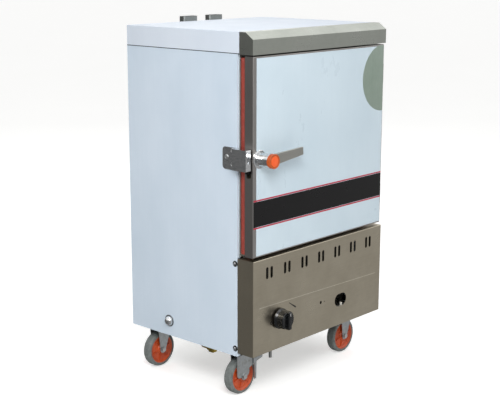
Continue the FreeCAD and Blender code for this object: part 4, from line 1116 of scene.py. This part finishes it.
@dataclass
class CabinetShell(SubAssembly):
    """Side sheets, top cover, visor, rear sheet and what holds them."""

    finishes: ClassVar[Mapping[str, Paint]] = {
        "left_side_panel": Paint.SIDE_FILM,
        "right_side_panel": Paint.SIDE_FILM,
        "top_cover": Paint.COVER,
        "visor": Paint.VISOR_STEEL,
        "rear_panel": Paint.REAR_STEEL,
        "front_frame": Paint.CHAMBER_STEEL,
        "panel_screws": Paint.CHROME,
        "base_side_rails": Paint.RAIL_STEEL,
        "base_cross_rails": Paint.RAIL_STEEL,
    }
    screw: Round = Round(radius=4.2 * MM, depth=1.8 * MM, edge=0.5 * MM, facets=24)
    screw_inset: float = 12.0 * MM
    screw_end_room: float = 48.0 * MM
    screw_rows: int = 5
    shade_ring_hole: float = 5.3 * MM
    seam_shadow_height: float = 2.4 * MM
    seam_shadow_proud: float = 0.5 * MM
    seam_shadow_inside: float = 1.0 * MM
    seam_shadow_edge: float = 0.2 * MM
    cross: Cross = Cross(arm=2.3 * MM, slot=0.45 * MM, depth=0.35 * MM)

    def build(self) -> None:
        """Makes the rear screws, the washers and crosses of the side screws in painted shade, and a painted
        shadow line under the cover.
        """
        self.rear_screws()
        self.side_screws()
        self.cover_seam_shadow()

    def rear_screws(self) -> None:
        """Pan heads down both edges of the rear sheet."""
        low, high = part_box("rear_panel")
        gap = (high.z - low.z - 2 * self.screw_end_room) / (self.screw_rows - 1)
        centres = [
            Vector((x, high.y + self.screw.depth / 2, low.z + self.screw_end_room + row * gap))
            for x in (low.x + self.screw_inset, high.x - self.screw_inset)
            for row in range(self.screw_rows)
        ]
        self.fit(discs("rear_screws", self.screw, centres, Axis.Y), Paint.ZINC, "cabinet", "zinc_steel")

    def side_screws(self) -> None:
        """Washer faces painted black as a ring of painted shadow, and dark crosses as painted shade, for the
        bright domed screws that hold the lower panel.
        """
        low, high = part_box("panel_screws")
        middle_y = (low.y + high.y) / 2
        radius = (high.y - low.y) / 2
        heights = (low.z + radius, high.z - radius)

        def on_shade_ring(place: Vector) -> bool:
            """Whether a face lies outside both domed heads."""
            away = min(math.hypot(place.y - middle_y, place.z - height) for height in heights)
            return away > self.shade_ring_hole

        # Painted shadow: the washer faces round the heads turn black for the dark ring of shade
        self.pick_out(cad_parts["panel_screws"].data, Paint.WASHER, on_shade_ring)
        corners = []
        for x, outward in ((low.x, -1.0), (high.x, 1.0)):
            for height in heights:
                corners += self.cross.corners(Vector((x, middle_y, height)), outward)
        # Painted shade: dark bars on the heads for the shade in the cross recesses
        self.fit(bars("panel_screw_crosses", corners, 0.0), Paint.RECESS, "cabinet", "black_steel")

    def cover_seam_shadow(self) -> None:
        """A thin dark bead under the top cover, on both sides and the rear, as a painted shadow line along
        the seam.
        """
        low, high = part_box("top_cover")
        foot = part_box("left_side_panel")[1].z - self.seam_shadow_height / 2
        head = low.z + self.seam_shadow_height / 2
        out, inside = self.seam_shadow_proud, self.seam_shadow_inside
        corners = [
            (Vector((left, front, foot)), Vector((right, back, head)))
            for left, right, front, back in (
                (low.x - out, low.x + inside, low.y, high.y),
                (high.x - inside, high.x + out, low.y, high.y),
                (low.x, high.x, high.y - inside, high.y + out),
            )
        ]
        self.fit(bars("cover_seam_shadow", corners, self.seam_shadow_edge), Paint.SEALANT, "cabinet", "black_plastic")


@dataclass
class Door(SubAssembly):
    """The door with its film, its band and the bare half disc."""

    finishes: ClassVar[Mapping[str, Paint]] = {
        "door_shell": Paint.DOOR_STEEL,
        "door_liner": Paint.CHAMBER_STEEL,
        "door_core": Paint.BOARD,
        "door_gasket": Paint.SEAL,
        "door_hinge_leaves": Paint.CHAMBER_STEEL,
    }
    film_left: float = 16.0 * MM
    film_right: float = 4.0 * MM
    film_low: float = 5.0 * MM
    film_high: float = 5.5 * MM
    film_thick: float = 0.30 * MM
    film_edge: float = 0.1 * MM
    tuck: float = 0.05 * MM
    fold: float = 2.5 * MM
    band_low: float = 95.0 * MM
    band_high: float = 190.0 * MM
    band_thick: float = 0.15 * MM
    band_edge: float = 0.05 * MM
    line_height: float = 5.0 * MM
    line_gap: float = 1.0 * MM
    disc_radius: float = 117.0 * MM
    disc_facets: int = 160
    disc_from_right: float = 6.0 * MM
    disc_from_top: float = 117.0 * MM
    screw_inset: float = 34.0 * MM
    screw: Round = Round(radius=3.6 * MM, depth=1.2 * MM, edge=0.4 * MM, facets=20)
    screw_columns: int = 4
    liner_sheet: float = 1.2 * MM

    def build(self) -> None:
        """Makes the film, the band, the disc and the liner's screws."""
        low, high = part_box("door_shell")
        start = Vector((low.x + self.film_left, low.y - self.film_thick, low.z + self.film_low))
        end = Vector((high.x - self.film_right, low.y + self.tuck, high.z - self.film_high))
        self.fit(block("door_film", start, end, self.film_edge), Paint.DOOR_FILM, "door", "film_steel")
        self.band(low, high)
        self.half_disc(low, high)
        self.liner_screws(high.y + self.liner_sheet)

    def band(self, low: Vector, high: Vector) -> None:
        """The black band with a thin red line above and below it.

        Args:
            low: The door's lowest corner.
            high: Its highest corner.
        """
        front = low.y - self.film_thick - self.band_thick
        start, end = low.z + self.band_low, low.z + self.band_high
        margin = self.line_height + self.line_gap
        for name, foot, head, paint, slot in (
            ("door_band", start + margin, end - margin, Paint.BAND_BLACK, "black_plastic"),
            ("door_line_low", start, start + self.line_height, Paint.BAND_RED, "red_silicone"),
            ("door_line_high", end - self.line_height, end, Paint.BAND_RED, "red_silicone"),
        ):
            strip_low = Vector((low.x + self.fold, front, foot))
            strip_high = Vector((high.x - self.fold, low.y + self.tuck, head))
            self.fit(block(name, strip_low, strip_high, self.band_edge), paint, "door", slot)

    def half_disc(self, low: Vector, high: Vector) -> None:
        """The round bare patch at the upper right, cut by the door's edges.

        Args:
            low: The door's lowest corner.
            high: Its highest corner.
        """
        front = low.y - self.film_thick - self.band_thick
        back = low.y + self.tuck
        centre = Vector((high.x - self.disc_from_right, (front + back) / 2, high.z - self.disc_from_top))
        size = Round(self.disc_radius, back - front, facets=self.disc_facets)
        plate = discs("door_bare_disc", size, [centre], Axis.Y)
        cut_off(plate, Vector((high.x - self.fold, 0.0, 0.0)), Vector((1.0, 0.0, 0.0)))
        cut_off(plate, Vector((0.0, 0.0, high.z - self.fold)), Vector((0.0, 0.0, 1.0)))
        self.fit(smooth(plate), Paint.DISC_STEEL, "door", "brushed_steel")

    def liner_screws(self, surface: float) -> None:
        """Small heads along the top and the foot of the inner sheet.

        Args:
            surface: How far back the inner sheet's face lies.
        """
        low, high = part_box("door_gasket")
        inset = self.screw_inset
        step = (high.x - low.x - 2 * inset) / (self.screw_columns - 1)
        centres = [
            Vector((low.x + inset + column * step, surface + self.screw.depth / 2, z))
            for column in range(self.screw_columns)
            for z in (low.z + inset, high.z - inset)
        ]
        self.fit(discs("door_liner_screws", self.screw, centres, Axis.Y), Paint.CHROME, "door", "chrome")


@dataclass
class Latch(SubAssembly):
    """The lever handle with its boss and cap, and the keeper it closes on."""

    finishes: ClassVar[Mapping[str, Paint]] = {
        "latch_rosette": Paint.CHROME,
        "latch_handle": Paint.CHROME,
        "latch_cap": Paint.CAP_ORANGE,
        "latch_tongue": Paint.BLACKED,
        "latch_keeper": Paint.CHROME,
        "keeper_screws": Paint.NUT_ZINC,
    }
    boss_radius: float = 22.0 * MM
    boss_wire: float = 0.6 * MM
    boss_steps: Span = (6.0 * MM, 28.0 * MM)
    cap_rim: float = 2.6 * MM
    cap_dish: float = 1.3 * MM
    cap_button: float = 4.0 * MM
    cap_button_rise: float = 0.9 * MM
    cap_edge: float = 0.6 * MM
    cap_edge_strips: int = 3
    cap_facets: int = 96
    lever_start: float = 23.0 * MM
    screw_spread: float = 25.0 * MM
    screw: Round = Round(radius=2.6 * MM, depth=1.4 * MM, edge=0.4 * MM, facets=20)
    screw_proud: float = 0.4 * MM
    cup_height: float = 1.3 * MM
    cup_width: float = 2.4 * MM
    cup_facets: int = 48
    keeper_head: float = 5.0 * MM
    cross: Cross = Cross(arm=2.0 * MM, slot=0.4 * MM, depth=0.3 * MM)

    def build(self) -> None:
        """Makes the cap, the beads of the boss, the rosette's screws and the keeper's fixings."""
        low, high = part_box("latch_cap")
        middle = (low + high) / 2
        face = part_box("latch_rosette")[0].y
        self.dished_cap(low, high)
        self.pick_out(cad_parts["latch_handle"].data, Paint.LEVER_STEEL,
                      lambda place: place.x > middle.x + self.lever_start)
        centres = [Vector((middle.x, face - step, middle.z)) for step in self.boss_steps]
        beads = hoops("latch_boss_beads", centres, self.boss_radius, self.boss_wire, Axis.Y)
        self.fit(beads, Paint.CHROME, "latch", "chrome")
        centres = [
            Vector((middle.x, face - self.screw_proud, middle.z + side * self.screw_spread))
            for side in (-1.0, 1.0)
        ]
        self.fit(discs("rosette_screws", self.screw, centres, Axis.Y), Paint.ZINC, "door", "zinc_steel")
        self.keeper_fixings()

    def dished_cap(self, low: Vector, high: Vector) -> None:
        """The moulded cap, with a raised rim, a dished ring and a round button; all but the button take a
        darker orange as painted shade.

        Args:
            low: The cap's lowest corner.
            high: Its highest corner.
        """
        middle = (low + high) / 2
        radius = (high.x - low.x) / 2
        start_clean()
        bpy.ops.mesh.primitive_cylinder_add(
            vertices=self.cap_facets, radius=radius, depth=high.y - low.y,
            location=middle, rotation=Axis.Y.turn(),
        )
        cap = settle("latch_cap_moulded")
        open_part(cap, lambda place: place.y < middle.y)
        bpy.ops.mesh.select_mode(type="FACE")
        for inset, push in ((self.cap_rim, self.cap_dish), (self.cap_button, -self.cap_button_rise)):
            bpy.ops.mesh.inset(thickness=inset)
            bpy.ops.mesh.extrude_region_move(TRANSFORM_OT_translate={"value": (0.0, push, 0.0)})
        bpy.ops.object.mode_set(mode="OBJECT")
        round_edges(cap, self.cap_edge, self.cap_edge_strips)
        # Painted shade: the whole cap takes the darker orange, and then the button gets the lighter one
        self.fit(smooth(cap), Paint.CAP_RIM, "latch", "orange_plastic")
        button = radius - self.cap_rim - self.cap_button

        def on_button(place: Vector) -> bool:
            """Whether a face lies on the round button."""
            away = math.hypot(place.x - middle.x, place.z - middle.z)
            return away < button and place.y < low.y + self.cap_dish

        self.pick_out(cap.data, Paint.CAP_ORANGE, on_button)
        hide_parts("latch_cap")

    def keeper_fixings(self) -> None:
        """Crosses and cup washers for the three screws of the keeper."""
        low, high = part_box("keeper_screws")
        radius = self.keeper_head
        places = (
            (low.y + radius, high.z - radius),
            (high.y - radius, (low.z + high.z) / 2),
            (low.y + radius, low.z + radius),
        )
        corners = []
        for y, z in places:
            corners += self.cross.corners(Vector((low.x, y, z)), -1.0)
        # Painted shade: dark bars on the keeper screws for the shade in the cross recesses
        self.fit(bars("keeper_screw_crosses", corners, 0.0), Paint.RECESS, "cabinet", "black_steel")
        seats = [Vector((high.x - self.cup_height / 2, y, z)) for y, z in places]
        cup = radius + self.cup_width / 2
        cups = hoops("keeper_cup_washers", seats, cup, self.cup_height, Axis.X, self.cup_facets)
        self.fit(cups, Paint.NUT_ZINC, "cabinet", "chrome")


@dataclass
class Hinges(SubAssembly):
    """Two pin hinges on the right side."""

    finishes: ClassVar[Mapping[str, Paint]] = {
        "hinge_brackets": Paint.REAR_STEEL,
        "hinge_pins": Paint.ZINC,
        "hinge_screws": Paint.ZINC,
    }


@dataclass
class Controls(SubAssembly):
    """The lower panel with its printed marks and the gas knob."""

    finishes: ClassVar[Mapping[str, Paint]] = {
        "lower_panel": Paint.PANEL_STEEL,
        "gas_knob": Paint.KNOB_BLACK,
        "knob_spindle": Paint.ZINC,
        "gas_valve": Paint.BRASS,
        "valve_plunger": Paint.ZINC,
        "gas_pipes": Paint.PIPE_STEEL,
        "spark_electrode": Paint.CERAMIC,
    }
    mark_thick: float = 0.12 * MM
    off_x: float = 90.0 * MM
    off_z: float = 110.0 * MM
    off_radius: float = 4.4 * MM
    off_line: float = 1.3 * MM
    off_facets: int = 32
    dash_x: float = 198.0 * MM
    dash_z: float = 148.0 * MM
    dash_length: float = 42.0 * MM
    dash_thick: float = 6.0 * MM
    dash_tilt: float = math.radians(33.0)
    dash_taper: float = 0.35
    reflection_line_z: float = 166.8 * MM
    reflection_line_length: float = 640.0 * MM
    reflection_line_width: float = 1.8 * MM
    reflection_line_proud: float = 0.05 * MM
    reflection_line_fall: float = math.radians(1.24)
    panel_sheet: float = 1.2 * MM
    insulator_x: float = 134.5 * MM
    insulator_back: float = 13.0 * MM
    insulator_top: float = 88.5 * MM
    insulator: Round = Round(radius=4.2 * MM, depth=42.0 * MM, edge=1.2 * MM, facets=32)
    collar: Round = Round(radius=5.6 * MM, depth=5.0 * MM, edge=0.8 * MM, facets=32)
    collar_place: float = 0.55
    clip_width: float = 12.0 * MM
    clip_height: float = 7.0 * MM
    clip_drop: float = 20.0 * MM
    clip_edge: float = 0.4 * MM
    ribs: int = 28
    first_rib: float = 0.5
    rib_width: float = 2.6 * MM
    rib_rise: float = 1.6 * MM
    rib_lift: float = 0.2 * MM
    rib_edge: float = 0.5 * MM
    grip_room: float = 0.34
    body_radius: float = 31.0 * MM
    body_taper: float = 2.0 * MM
    body_length: float = 22.0 * MM
    skirt: float = 9.5 * MM
    pointer_width: float = 2.2 * MM
    pointer_length: float = 9.0 * MM
    pointer_start: float = 17.0 * MM
    pointer_depth: float = 0.3 * MM
    pointer_edge: float = 0.1 * MM

    def build(self) -> None:
        """Makes the marks, the painted reflection line, the insulator behind the sight hole and the knob's
        details.
        """
        low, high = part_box("lower_panel")
        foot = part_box("left_side_panel")[0].z
        corner = Vector((low.x, low.y, foot))
        middle = Vector(((low.x + high.x) / 2, low.y, foot))
        self.off_mark(corner + Vector((self.off_x, 0.0, self.off_z)))
        self.flame_mark(corner + Vector((self.dash_x, 0.0, self.dash_z)))
        self.painted_reflection_line(middle + Vector((0.0, 0.0, self.reflection_line_z)))
        self.sight_insulator(middle + Vector((self.insulator_x, self.insulator_back, self.insulator_top)))
        self.knob_ribs()
        self.pointer_and_highlight()

    def off_mark(self, centre: Vector) -> None:
        """The printed ring for off.

        Args:
            centre: Its middle on the panel.
        """
        mark = hoops("off_mark", [centre], self.off_radius, self.off_line, Axis.Y, self.off_facets)
        flat = Matrix.Diagonal((1.0, self.mark_thick / self.off_line, 1.0, 1.0))
        mark.data.transform(about(centre, flat))
        self.fit(mark, Paint.MARK_INK, "cabinet", "black_plastic")

    def flame_mark(self, middle: Vector) -> None:
        """The printed dash for the flame's size, tilted and drawn to a point at its left end.

        Args:
            middle: Its middle on the panel.
        """
        half = Vector((self.dash_length / 2, self.mark_thick, self.dash_thick / 2))
        dash = block("flame_size_mark", middle - half, middle + half)
        open_part(dash, lambda place: place.x < middle.x)
        bpy.ops.transform.resize(value=(1.0, 1.0, self.dash_taper), center_override=middle)
        bpy.ops.object.mode_set(mode="OBJECT")
        dash.data.transform(about(middle, Matrix.Rotation(self.dash_tilt, 4, "Y")))
        self.fit(dash, Paint.MARK_INK, "cabinet", "black_plastic")

    def painted_reflection_line(self, middle: Vector) -> None:
        """A long faint painted reflection, a light line that falls a little from left to right above the
        knob.

        Args:
            middle: Its middle on the panel.
        """
        half = Vector((self.reflection_line_length / 2, self.reflection_line_proud, self.reflection_line_width / 2))
        # Painted reflection: a thin strip lighter than the panel
        line = block("panel_painted_reflection_line", middle - half, middle + half, turn=(0.0, self.reflection_line_fall, 0.0))
        self.fit(line, Paint.SCRATCH, "cabinet", "brushed_steel")

    def sight_insulator(self, top: Vector) -> None:
        """The white insulator of the spark lead, clipped behind the panel under the sight hole.

        Args:
            top: The middle of its upper end.
        """
        up = Vector((0.0, 0.0, self.insulator.depth))
        tube = discs("insulator_tube", self.insulator, [top - up / 2], Axis.Z)
        collar = discs("insulator_collar", self.collar, [top - up * self.collar_place], Axis.Z)
        self.fit(joined("sight_insulator", [tube, collar]), Paint.CERAMIC, "cabinet", "ceramic")
        seat = top.y - self.insulator_back + self.panel_sheet
        head = top.z - self.clip_drop
        clip = block("insulator_clip", Vector((top.x - self.clip_width / 2, seat, head - self.clip_height)),
                     Vector((top.x + self.clip_width / 2, top.y, head)), self.clip_edge)
        self.fit(clip, Paint.ZINC, "cabinet", "zinc_steel")

    def knob_ribs(self) -> None:
        """Ribs round the knob's body for the fingers, left out beside the grip."""
        low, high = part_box("gas_knob")
        middle = (low + high) / 2
        middle.y = high.y - self.skirt - self.body_length / 2
        radius = self.body_radius - self.body_taper / 2 + self.rib_lift
        half = Vector((self.rib_rise, self.body_length / 2, self.rib_width / 2))
        angles = [2 * math.pi * (count + self.first_rib) / self.ribs for count in range(self.ribs)]
        clear = [angle for angle in angles if abs(math.cos(angle)) >= self.grip_room]
        ribs = spokes("knob_ribs", [middle], radius, half, self.rib_edge, clear)
        self.fit(ribs, Paint.KNOB_BLACK, "knob", "black_plastic")

    def pointer_and_highlight(self) -> None:
        """The pale line on the grip that points up at rest, near the grip's top, partly a painted highlight
        on the grip.
        """
        low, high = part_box("gas_knob")
        x = (low.x + high.x) / 2
        foot = (low.z + high.z) / 2 + self.pointer_start
        start = Vector((x - self.pointer_width / 2, low.y - self.mark_thick, foot))
        end = Vector((x + self.pointer_width / 2, low.y + self.pointer_depth, foot + self.pointer_length))
        # Partly painted highlight: the pale pad also stands for the shine near the grip's top
        self.fit(block("knob_pointer_and_highlight", start, end, self.pointer_edge), Paint.POINTER, "knob", "ceramic")


@dataclass
class Chamber(SubAssembly):
    """The steam chamber, its racks, the tank and the boards round it."""

    finishes: ClassVar[Mapping[str, Paint]] = {
        "chamber_liner": Paint.CHAMBER_STEEL,
        "water_tank": Paint.CHAMBER_STEEL,
        "steam_baffle": Paint.RACK_STEEL,
        "tray_racks": Paint.RACK_STEEL,
        "insulation_boards": Paint.BOARD,
    }
    levels: int = 6
    pitch: float = 95.0 * MM
    rivet_first: float = 58.5 * MM
    rivet_wall: float = 5.5 * MM
    rivet_end: float = 40.0 * MM
    rivet: Round = Round(radius=3.0 * MM, depth=1.3 * MM, edge=0.5 * MM, facets=16)
    weld_radius: float = 1.6 * MM
    weld_facets: int = 12
    liner_sheet: float = 1.2 * MM

    def build(self) -> None:
        """Makes two rivets for each runner, and a ground weld up each rear corner of the liner."""
        low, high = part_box("tray_racks")
        wall = high.x - self.rivet_wall - self.rivet.depth / 2
        centres = [
            Vector((side * wall, y, low.z + self.rivet_first + level * self.pitch))
            for side in (-1.0, 1.0)
            for y in (low.y + self.rivet_end, high.y - self.rivet_end)
            for level in range(self.levels)
        ]
        self.fit(discs("rack_rivets", self.rivet, centres, Axis.X), Paint.CHROME, "cabinet", "chrome")
        low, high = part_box("chamber_liner")
        inner = self.liner_sheet
        middle_z = (low.z + high.z) / 2
        centres = [Vector((x, high.y - inner, middle_z)) for x in (low.x + inner, high.x - inner)]
        size = Round(self.weld_radius, high.z - low.z - 2 * inner, facets=self.weld_facets)
        self.fit(discs("liner_welds", size, centres, Axis.Z), Paint.WELD, "cabinet", "plain_steel")


@dataclass
class Burners(SubAssembly):
    """Bar burners, their tray and shields, and the water and smoke lines."""

    finishes: ClassVar[Mapping[str, Paint]] = {
        "burner_bars": Paint.IRON,
        "burner_manifold": Paint.BRASS,
        "burner_supports": Paint.REAR_STEEL,
        "burner_tray": Paint.REAR_STEEL,
        "heat_shields": Paint.REAR_STEEL,
        "flue_ducts": Paint.DUCT_STEEL,
        "flue_straps": Paint.DUCT_STEEL,
        "drain_pipe": Paint.BLACKED,
        "drain_barb": Paint.BRASS,
        "overflow_pipe": Paint.PIPE_STEEL,
        "side_port": Paint.CHROME,
    }
    strap_places: Three = (0.29, 0.64, 0.96)
    rivet_inset: float = 9.0 * MM
    rivet_seat: float = 2.2 * MM
    rivet: Round = Round(radius=3.2 * MM, depth=1.6 * MM, edge=0.5 * MM, facets=20)
    duct_width: float = 70.0 * MM
    seam_half: float = 4.0 * MM
    seam_sunk: float = 0.3 * MM
    seam_rise: float = 0.9 * MM
    seam_foot: float = 4.0 * MM
    seam_head: float = 3.0 * MM
    seam_edge: float = 0.3 * MM
    port_seat: float = 3.2 * MM
    port_radius: float = 17.6 * MM
    port_wire: float = 0.8 * MM

    def build(self) -> None:
        """Makes the rivets of the flue straps, the ducts' seams and the port's dark bead, a ring of painted
        shade.
        """
        side_low, side_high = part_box("left_side_panel")
        self.pick_out(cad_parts["drain_pipe"].data, Paint.BRASS, lambda place: place.z < side_low.z)
        low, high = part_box("flue_straps")
        centres = [
            Vector((x, low.y + self.rivet_seat, side_low.z + share * (side_high.z - side_low.z)))
            for share in self.strap_places
            for x in (low.x + self.rivet_inset, high.x - self.rivet_inset)
        ]
        self.fit(discs("strap_rivets", self.rivet, centres, Axis.Y), Paint.ZINC, "cabinet", "zinc_steel")
        low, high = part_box("flue_ducts")
        corners = [
            (
                Vector((x - self.seam_half, high.y - self.seam_sunk, low.z + self.seam_foot)),
                Vector((x + self.seam_half, high.y + self.seam_rise, high.z - self.seam_head)),
            )
            for x in (low.x + self.duct_width / 2, high.x - self.duct_width / 2)
        ]
        self.fit(bars("duct_seams", corners, self.seam_edge), Paint.DUCT_STEEL, "cabinet", "plain_steel")
        low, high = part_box("side_port")
        centre = Vector((high.x - self.port_seat, (low.y + high.y) / 2, (low.z + high.z) / 2))
        # Painted shade: a dark bead that gives the port a dark ring
        bead = hoops("side_port_shade_bead", [centre], self.port_radius, self.port_wire, Axis.X)
        self.fit(bead, Paint.WASHER, "cabinet", "chrome")


@dataclass
class Casters(SubAssembly):
    """Four swivel casters, the front left one with a brake."""

    finishes: ClassVar[Mapping[str, Paint]] = {
        "caster_plates": Paint.ZINC,
        "brake_pedal": Paint.ZINC,
        **{f"caster_fork_{corner.value}": Paint.ZINC for corner in Corner},
        **{f"caster_hub_{corner.value}": Paint.ORANGE for corner in Corner},
        **{f"caster_tyre_{corner.value}": Paint.TYRE for corner in Corner},
    }
    spoke_count: int = 6
    first_spoke: float = 0.25
    spoke_width: float = 3.2 * MM
    spoke_start: float = 21.0 * MM
    spoke_end: float = 41.0 * MM
    spoke_half: float = 1.9 * MM
    spoke_dish: float = 2.3 * MM
    spoke_edge: float = 0.6 * MM
    race_radius: float = 28.4 * MM
    race_wire: float = 1.1 * MM
    race_below: float = 7.0 * MM
    trail: float = 20.0 * MM
    leg_outside: float = 6.7 * MM
    nut_radius: float = 9.5 * MM
    tread_bars: int = 4
    tread_span: float = 14.0 * MM
    tread_start: float = 2.4 * MM
    tread_half: float = 0.9 * MM
    tread_rise: float = 0.9 * MM
    tread_sunk: float = 0.2 * MM
    tread_inset: float = 2.0 * MM
    tread_edge: float = 0.3 * MM

    def build(self) -> None:
        """Makes the hubs' spokes, the ball races and the pedal's tread, and brightens the nuts."""
        for corner in Corner:
            low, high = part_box(f"caster_tyre_{corner.value}")
            axle = (low + high) / 2
            half_width = (high.y - low.y) / 2
            self.hub_spokes(corner, axle, half_width)
            self.race(corner, axle)
            self.bright_nuts(corner, axle, half_width)
        self.pedal_tread()

    def hub_spokes(self, corner: Corner, axle: Vector, half_width: float) -> None:
        """Spokes in the dish of the hub, on both faces.

        Args:
            corner: Which caster.
            axle: The middle of its wheel.
            half_width: Half the wheel's width.
        """
        radius = (self.spoke_start + self.spoke_end) / 2
        half = Vector(((self.spoke_end - self.spoke_start) / 2, self.spoke_half, self.spoke_width / 2))
        side = Vector((0.0, half_width - self.spoke_dish, 0.0))
        count = self.spoke_count
        angles = [2 * math.pi * (place + self.first_spoke) / count for place in range(count)]
        name = f"caster_spokes_{corner.value}"
        pieces = spokes(name, (axle - side, axle + side), radius, half, self.spoke_edge, angles)
        self.fit(pieces, Paint.ORANGE, f"wheel_{corner.value}", "orange_plastic")

    def race(self, corner: Corner, axle: Vector) -> None:
        """The pressed ring that keeps the swivel's balls in.

        Args:
            corner: Which caster.
            axle: The middle of its wheel.
        """
        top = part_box(f"caster_fork_{corner.value}")[1].z
        centre = Vector((axle.x + self.trail, axle.y, top - self.race_below))
        hoop = hoops(f"caster_race_{corner.value}", [centre], self.race_radius, self.race_wire, Axis.Z)
        self.fit(hoop, Paint.ZINC, f"fork_{corner.value}", "zinc_steel")

    def bright_nuts(self, corner: Corner, axle: Vector, half_width: float) -> None:
        """Sets the axle's nuts and bolt head off from the fork.

        Args:
            corner: Which caster.
            axle: The middle of its wheel.
            half_width: Half the wheel's width.
        """

        def on_nut(place: Vector) -> bool:
            """Whether a face lies on the nut or the bolt head."""
            beside = abs(place.y - axle.y) > half_width + self.leg_outside
            return beside and math.hypot(place.x - axle.x, place.z - axle.z) < self.nut_radius

        self.pick_out(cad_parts[f"caster_fork_{corner.value}"].data, Paint.NUT_ZINC, on_nut)

    def pedal_tread(self) -> None:
        """Raised bars on the brake's foot plate."""
        low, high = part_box("brake_pedal")
        step = self.tread_span / (self.tread_bars - 1)
        corners = []
        for count in range(self.tread_bars):
            x = high.x - self.tread_start - count * step
            corners.append((
                Vector((x - self.tread_half, low.y + self.tread_inset, high.z - self.tread_sunk)),
                Vector((x + self.tread_half, high.y - self.tread_inset, high.z + self.tread_rise)),
            ))
        self.fit(bars("pedal_tread", corners, self.tread_edge), Paint.ZINC, "pedal", "zinc_steel")


@dataclass(frozen=True)
class Lamp:
    """One wide lamp.

    Attributes:
        name: Its name.
        place: Where it hangs, in metres.
        power: Its power in watts.
        size: How wide it is, in metres.
    """

    name: str
    place: Three
    power: float
    size: float

    def hang(self, target: Three) -> None:
        """Adds the lamp to the scene.

        Args:
            target: The point it looks at.
        """
        aim = Vector(target) - Vector(self.place)
        start_clean()
        turn = aim.to_track_quat("-Z", "Y").to_euler()
        bpy.ops.object.light_add(type="AREA", location=self.place, rotation=turn)
        lamp = bpy.context.active_object
        lamp.name = self.name
        lamp.data.shape = "DISK"
        lamp.data.size = self.size
        lamp.data.energy = self.power


@dataclass
class Studio:
    """A plain pale floor, soft lamps and an even sky.

    The sky lights everything evenly, while what the metal mirrors is dim low
    down on the left, brighter on the right and brightest overhead, as between
    white reflector boards.
    """

    palette: Palette
    floor_size: float = 60.0
    target: Three = (0.0, 0.0, 0.62)
    lamps: tuple[Lamp, ...] = (
        Lamp("key_lamp", (-1.9, -1.8, 2.2), 52.0, 1.2),
        Lamp("fill_lamp", (3.2, -3.2, 2.6), 10.0, 2.4),
        Lamp("top_lamp", (0.2, -0.4, 4.2), 30.0, 3.0),
        Lamp("rear_lamp", (2.4, 3.0, 3.2), 26.0, 2.4),
    )
    seen: float = 1.0
    even: float = 0.50
    mirrored_left: float = 0.15
    mirrored_right: float = 0.45
    mirrored_above: float = 1.2
    wall_span: Span = (-1.0, 0.9)
    rise_span: Span = (0.14, 0.52)

    def build(self) -> None:
        """Lays the floor, which isn't mirrored in the steamer, hangs the lamps and sets the sky."""
        start_clean()
        bpy.ops.mesh.primitive_plane_add(size=self.floor_size, location=(0.0, 0.0, 0.0))
        floor = settle("studio_floor")
        floor.data.materials.append(self.palette.material(Paint.FLOOR))
        floor.visible_glossy = False
        for lamp in self.lamps:
            lamp.hang(self.target)
        self.sky()

    def sky(self) -> None:
        """Even light for the dull surfaces, and shaded walls for the shiny ones to mirror."""
        world = bpy.data.worlds.new("studio_sky")
        world.use_nodes = True
        graph = Graph(world.node_tree)
        place = add_node(graph.tree, "ShaderNodeTexCoord").outputs["Generated"]
        parts = add_node(graph.tree, "ShaderNodeSeparateXYZ", None, {0: place}).outputs
        side = graph.math("SUBTRACT", parts[0], parts[1])
        wall = graph.between(side, self.wall_span, (self.mirrored_left, self.mirrored_right))
        mirrored = graph.between(parts[2], self.rise_span, (wall, self.mirrored_above))
        rays = add_node(graph.tree, "ShaderNodeLightPath").outputs
        unseen = graph.between(rays["Is Glossy Ray"], WHOLE, (self.even, mirrored))
        level = graph.between(rays["Is Camera Ray"], WHOLE, (unseen, self.seen))
        feeds = {"Color": (1.0, 1.0, 1.0, 1.0), "Strength": level}
        light = add_node(graph.tree, "ShaderNodeBackground", None, feeds)
        add_node(graph.tree, "ShaderNodeOutputWorld", None, {"Surface": light.outputs[0]})
        bpy.context.scene.world = world


@dataclass
class Viewpoint:
    """Where the photograph was taken from.

    Attributes:
        azimuth: The turn about the steamer, in degrees.
        elevation: The height above the horizon, in degrees.
        roll: The camera's own tilt, in degrees.
        place: Where it stood, in metres.
        lens: Its focal length, in millimetres.
        sensor: How wide its sensor is, in millimetres.
    """

    azimuth: float = -48.039
    elevation: float = 12.353
    roll: float = 0.10
    place: Three = (-2.9356, -2.5851, 1.4504)
    lens: float = 80.80
    sensor: float = 36.0

    def build(self) -> None:
        """Adds the camera and makes it the scene's own."""
        turn, rise, tip = (math.radians(angle) for angle in (self.azimuth, self.elevation, self.roll))
        back = Vector((math.sin(turn) * math.cos(rise), -math.cos(turn) * math.cos(rise), math.sin(rise)))
        right = Vector((math.cos(turn), math.sin(turn), 0.0))
        up = back.cross(right)
        right_rolled = right * math.cos(tip) + up * math.sin(tip)
        up_rolled = up * math.cos(tip) - right * math.sin(tip)
        start_clean()
        bpy.ops.object.camera_add()
        camera = bpy.context.active_object
        camera.name = "photo_camera"
        axes = Matrix((right_rolled, up_rolled, back)).transposed().to_4x4()
        camera.matrix_world = Matrix.Translation(Vector(self.place)) @ axes
        camera.data.sensor_fit = "HORIZONTAL"
        camera.data.sensor_width = self.sensor
        camera.data.lens = self.lens
        bpy.context.scene.camera = camera


def main() -> None:
    logging.basicConfig(level=logging.INFO, format="%(message)s")
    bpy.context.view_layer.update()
    bpy.context.scene.view_settings.view_transform = "Standard"
    palette = Palette()
    Studio(palette).build()
    Viewpoint().build()
    dressed: set[str] = set()
    for kind in (CabinetShell, Door, Latch, Hinges, Controls, Chamber, Burners, Casters):
        assembly = kind(palette)
        assembly.dress()
        assembly.build()
        dressed.update(assembly.finishes)
    bare = sorted(set(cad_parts) - dressed)
    if bare:
        raise ValueError(f"these pieces have no finish: {bare}")
    start_clean()


if __name__ == "__main__":
    main()
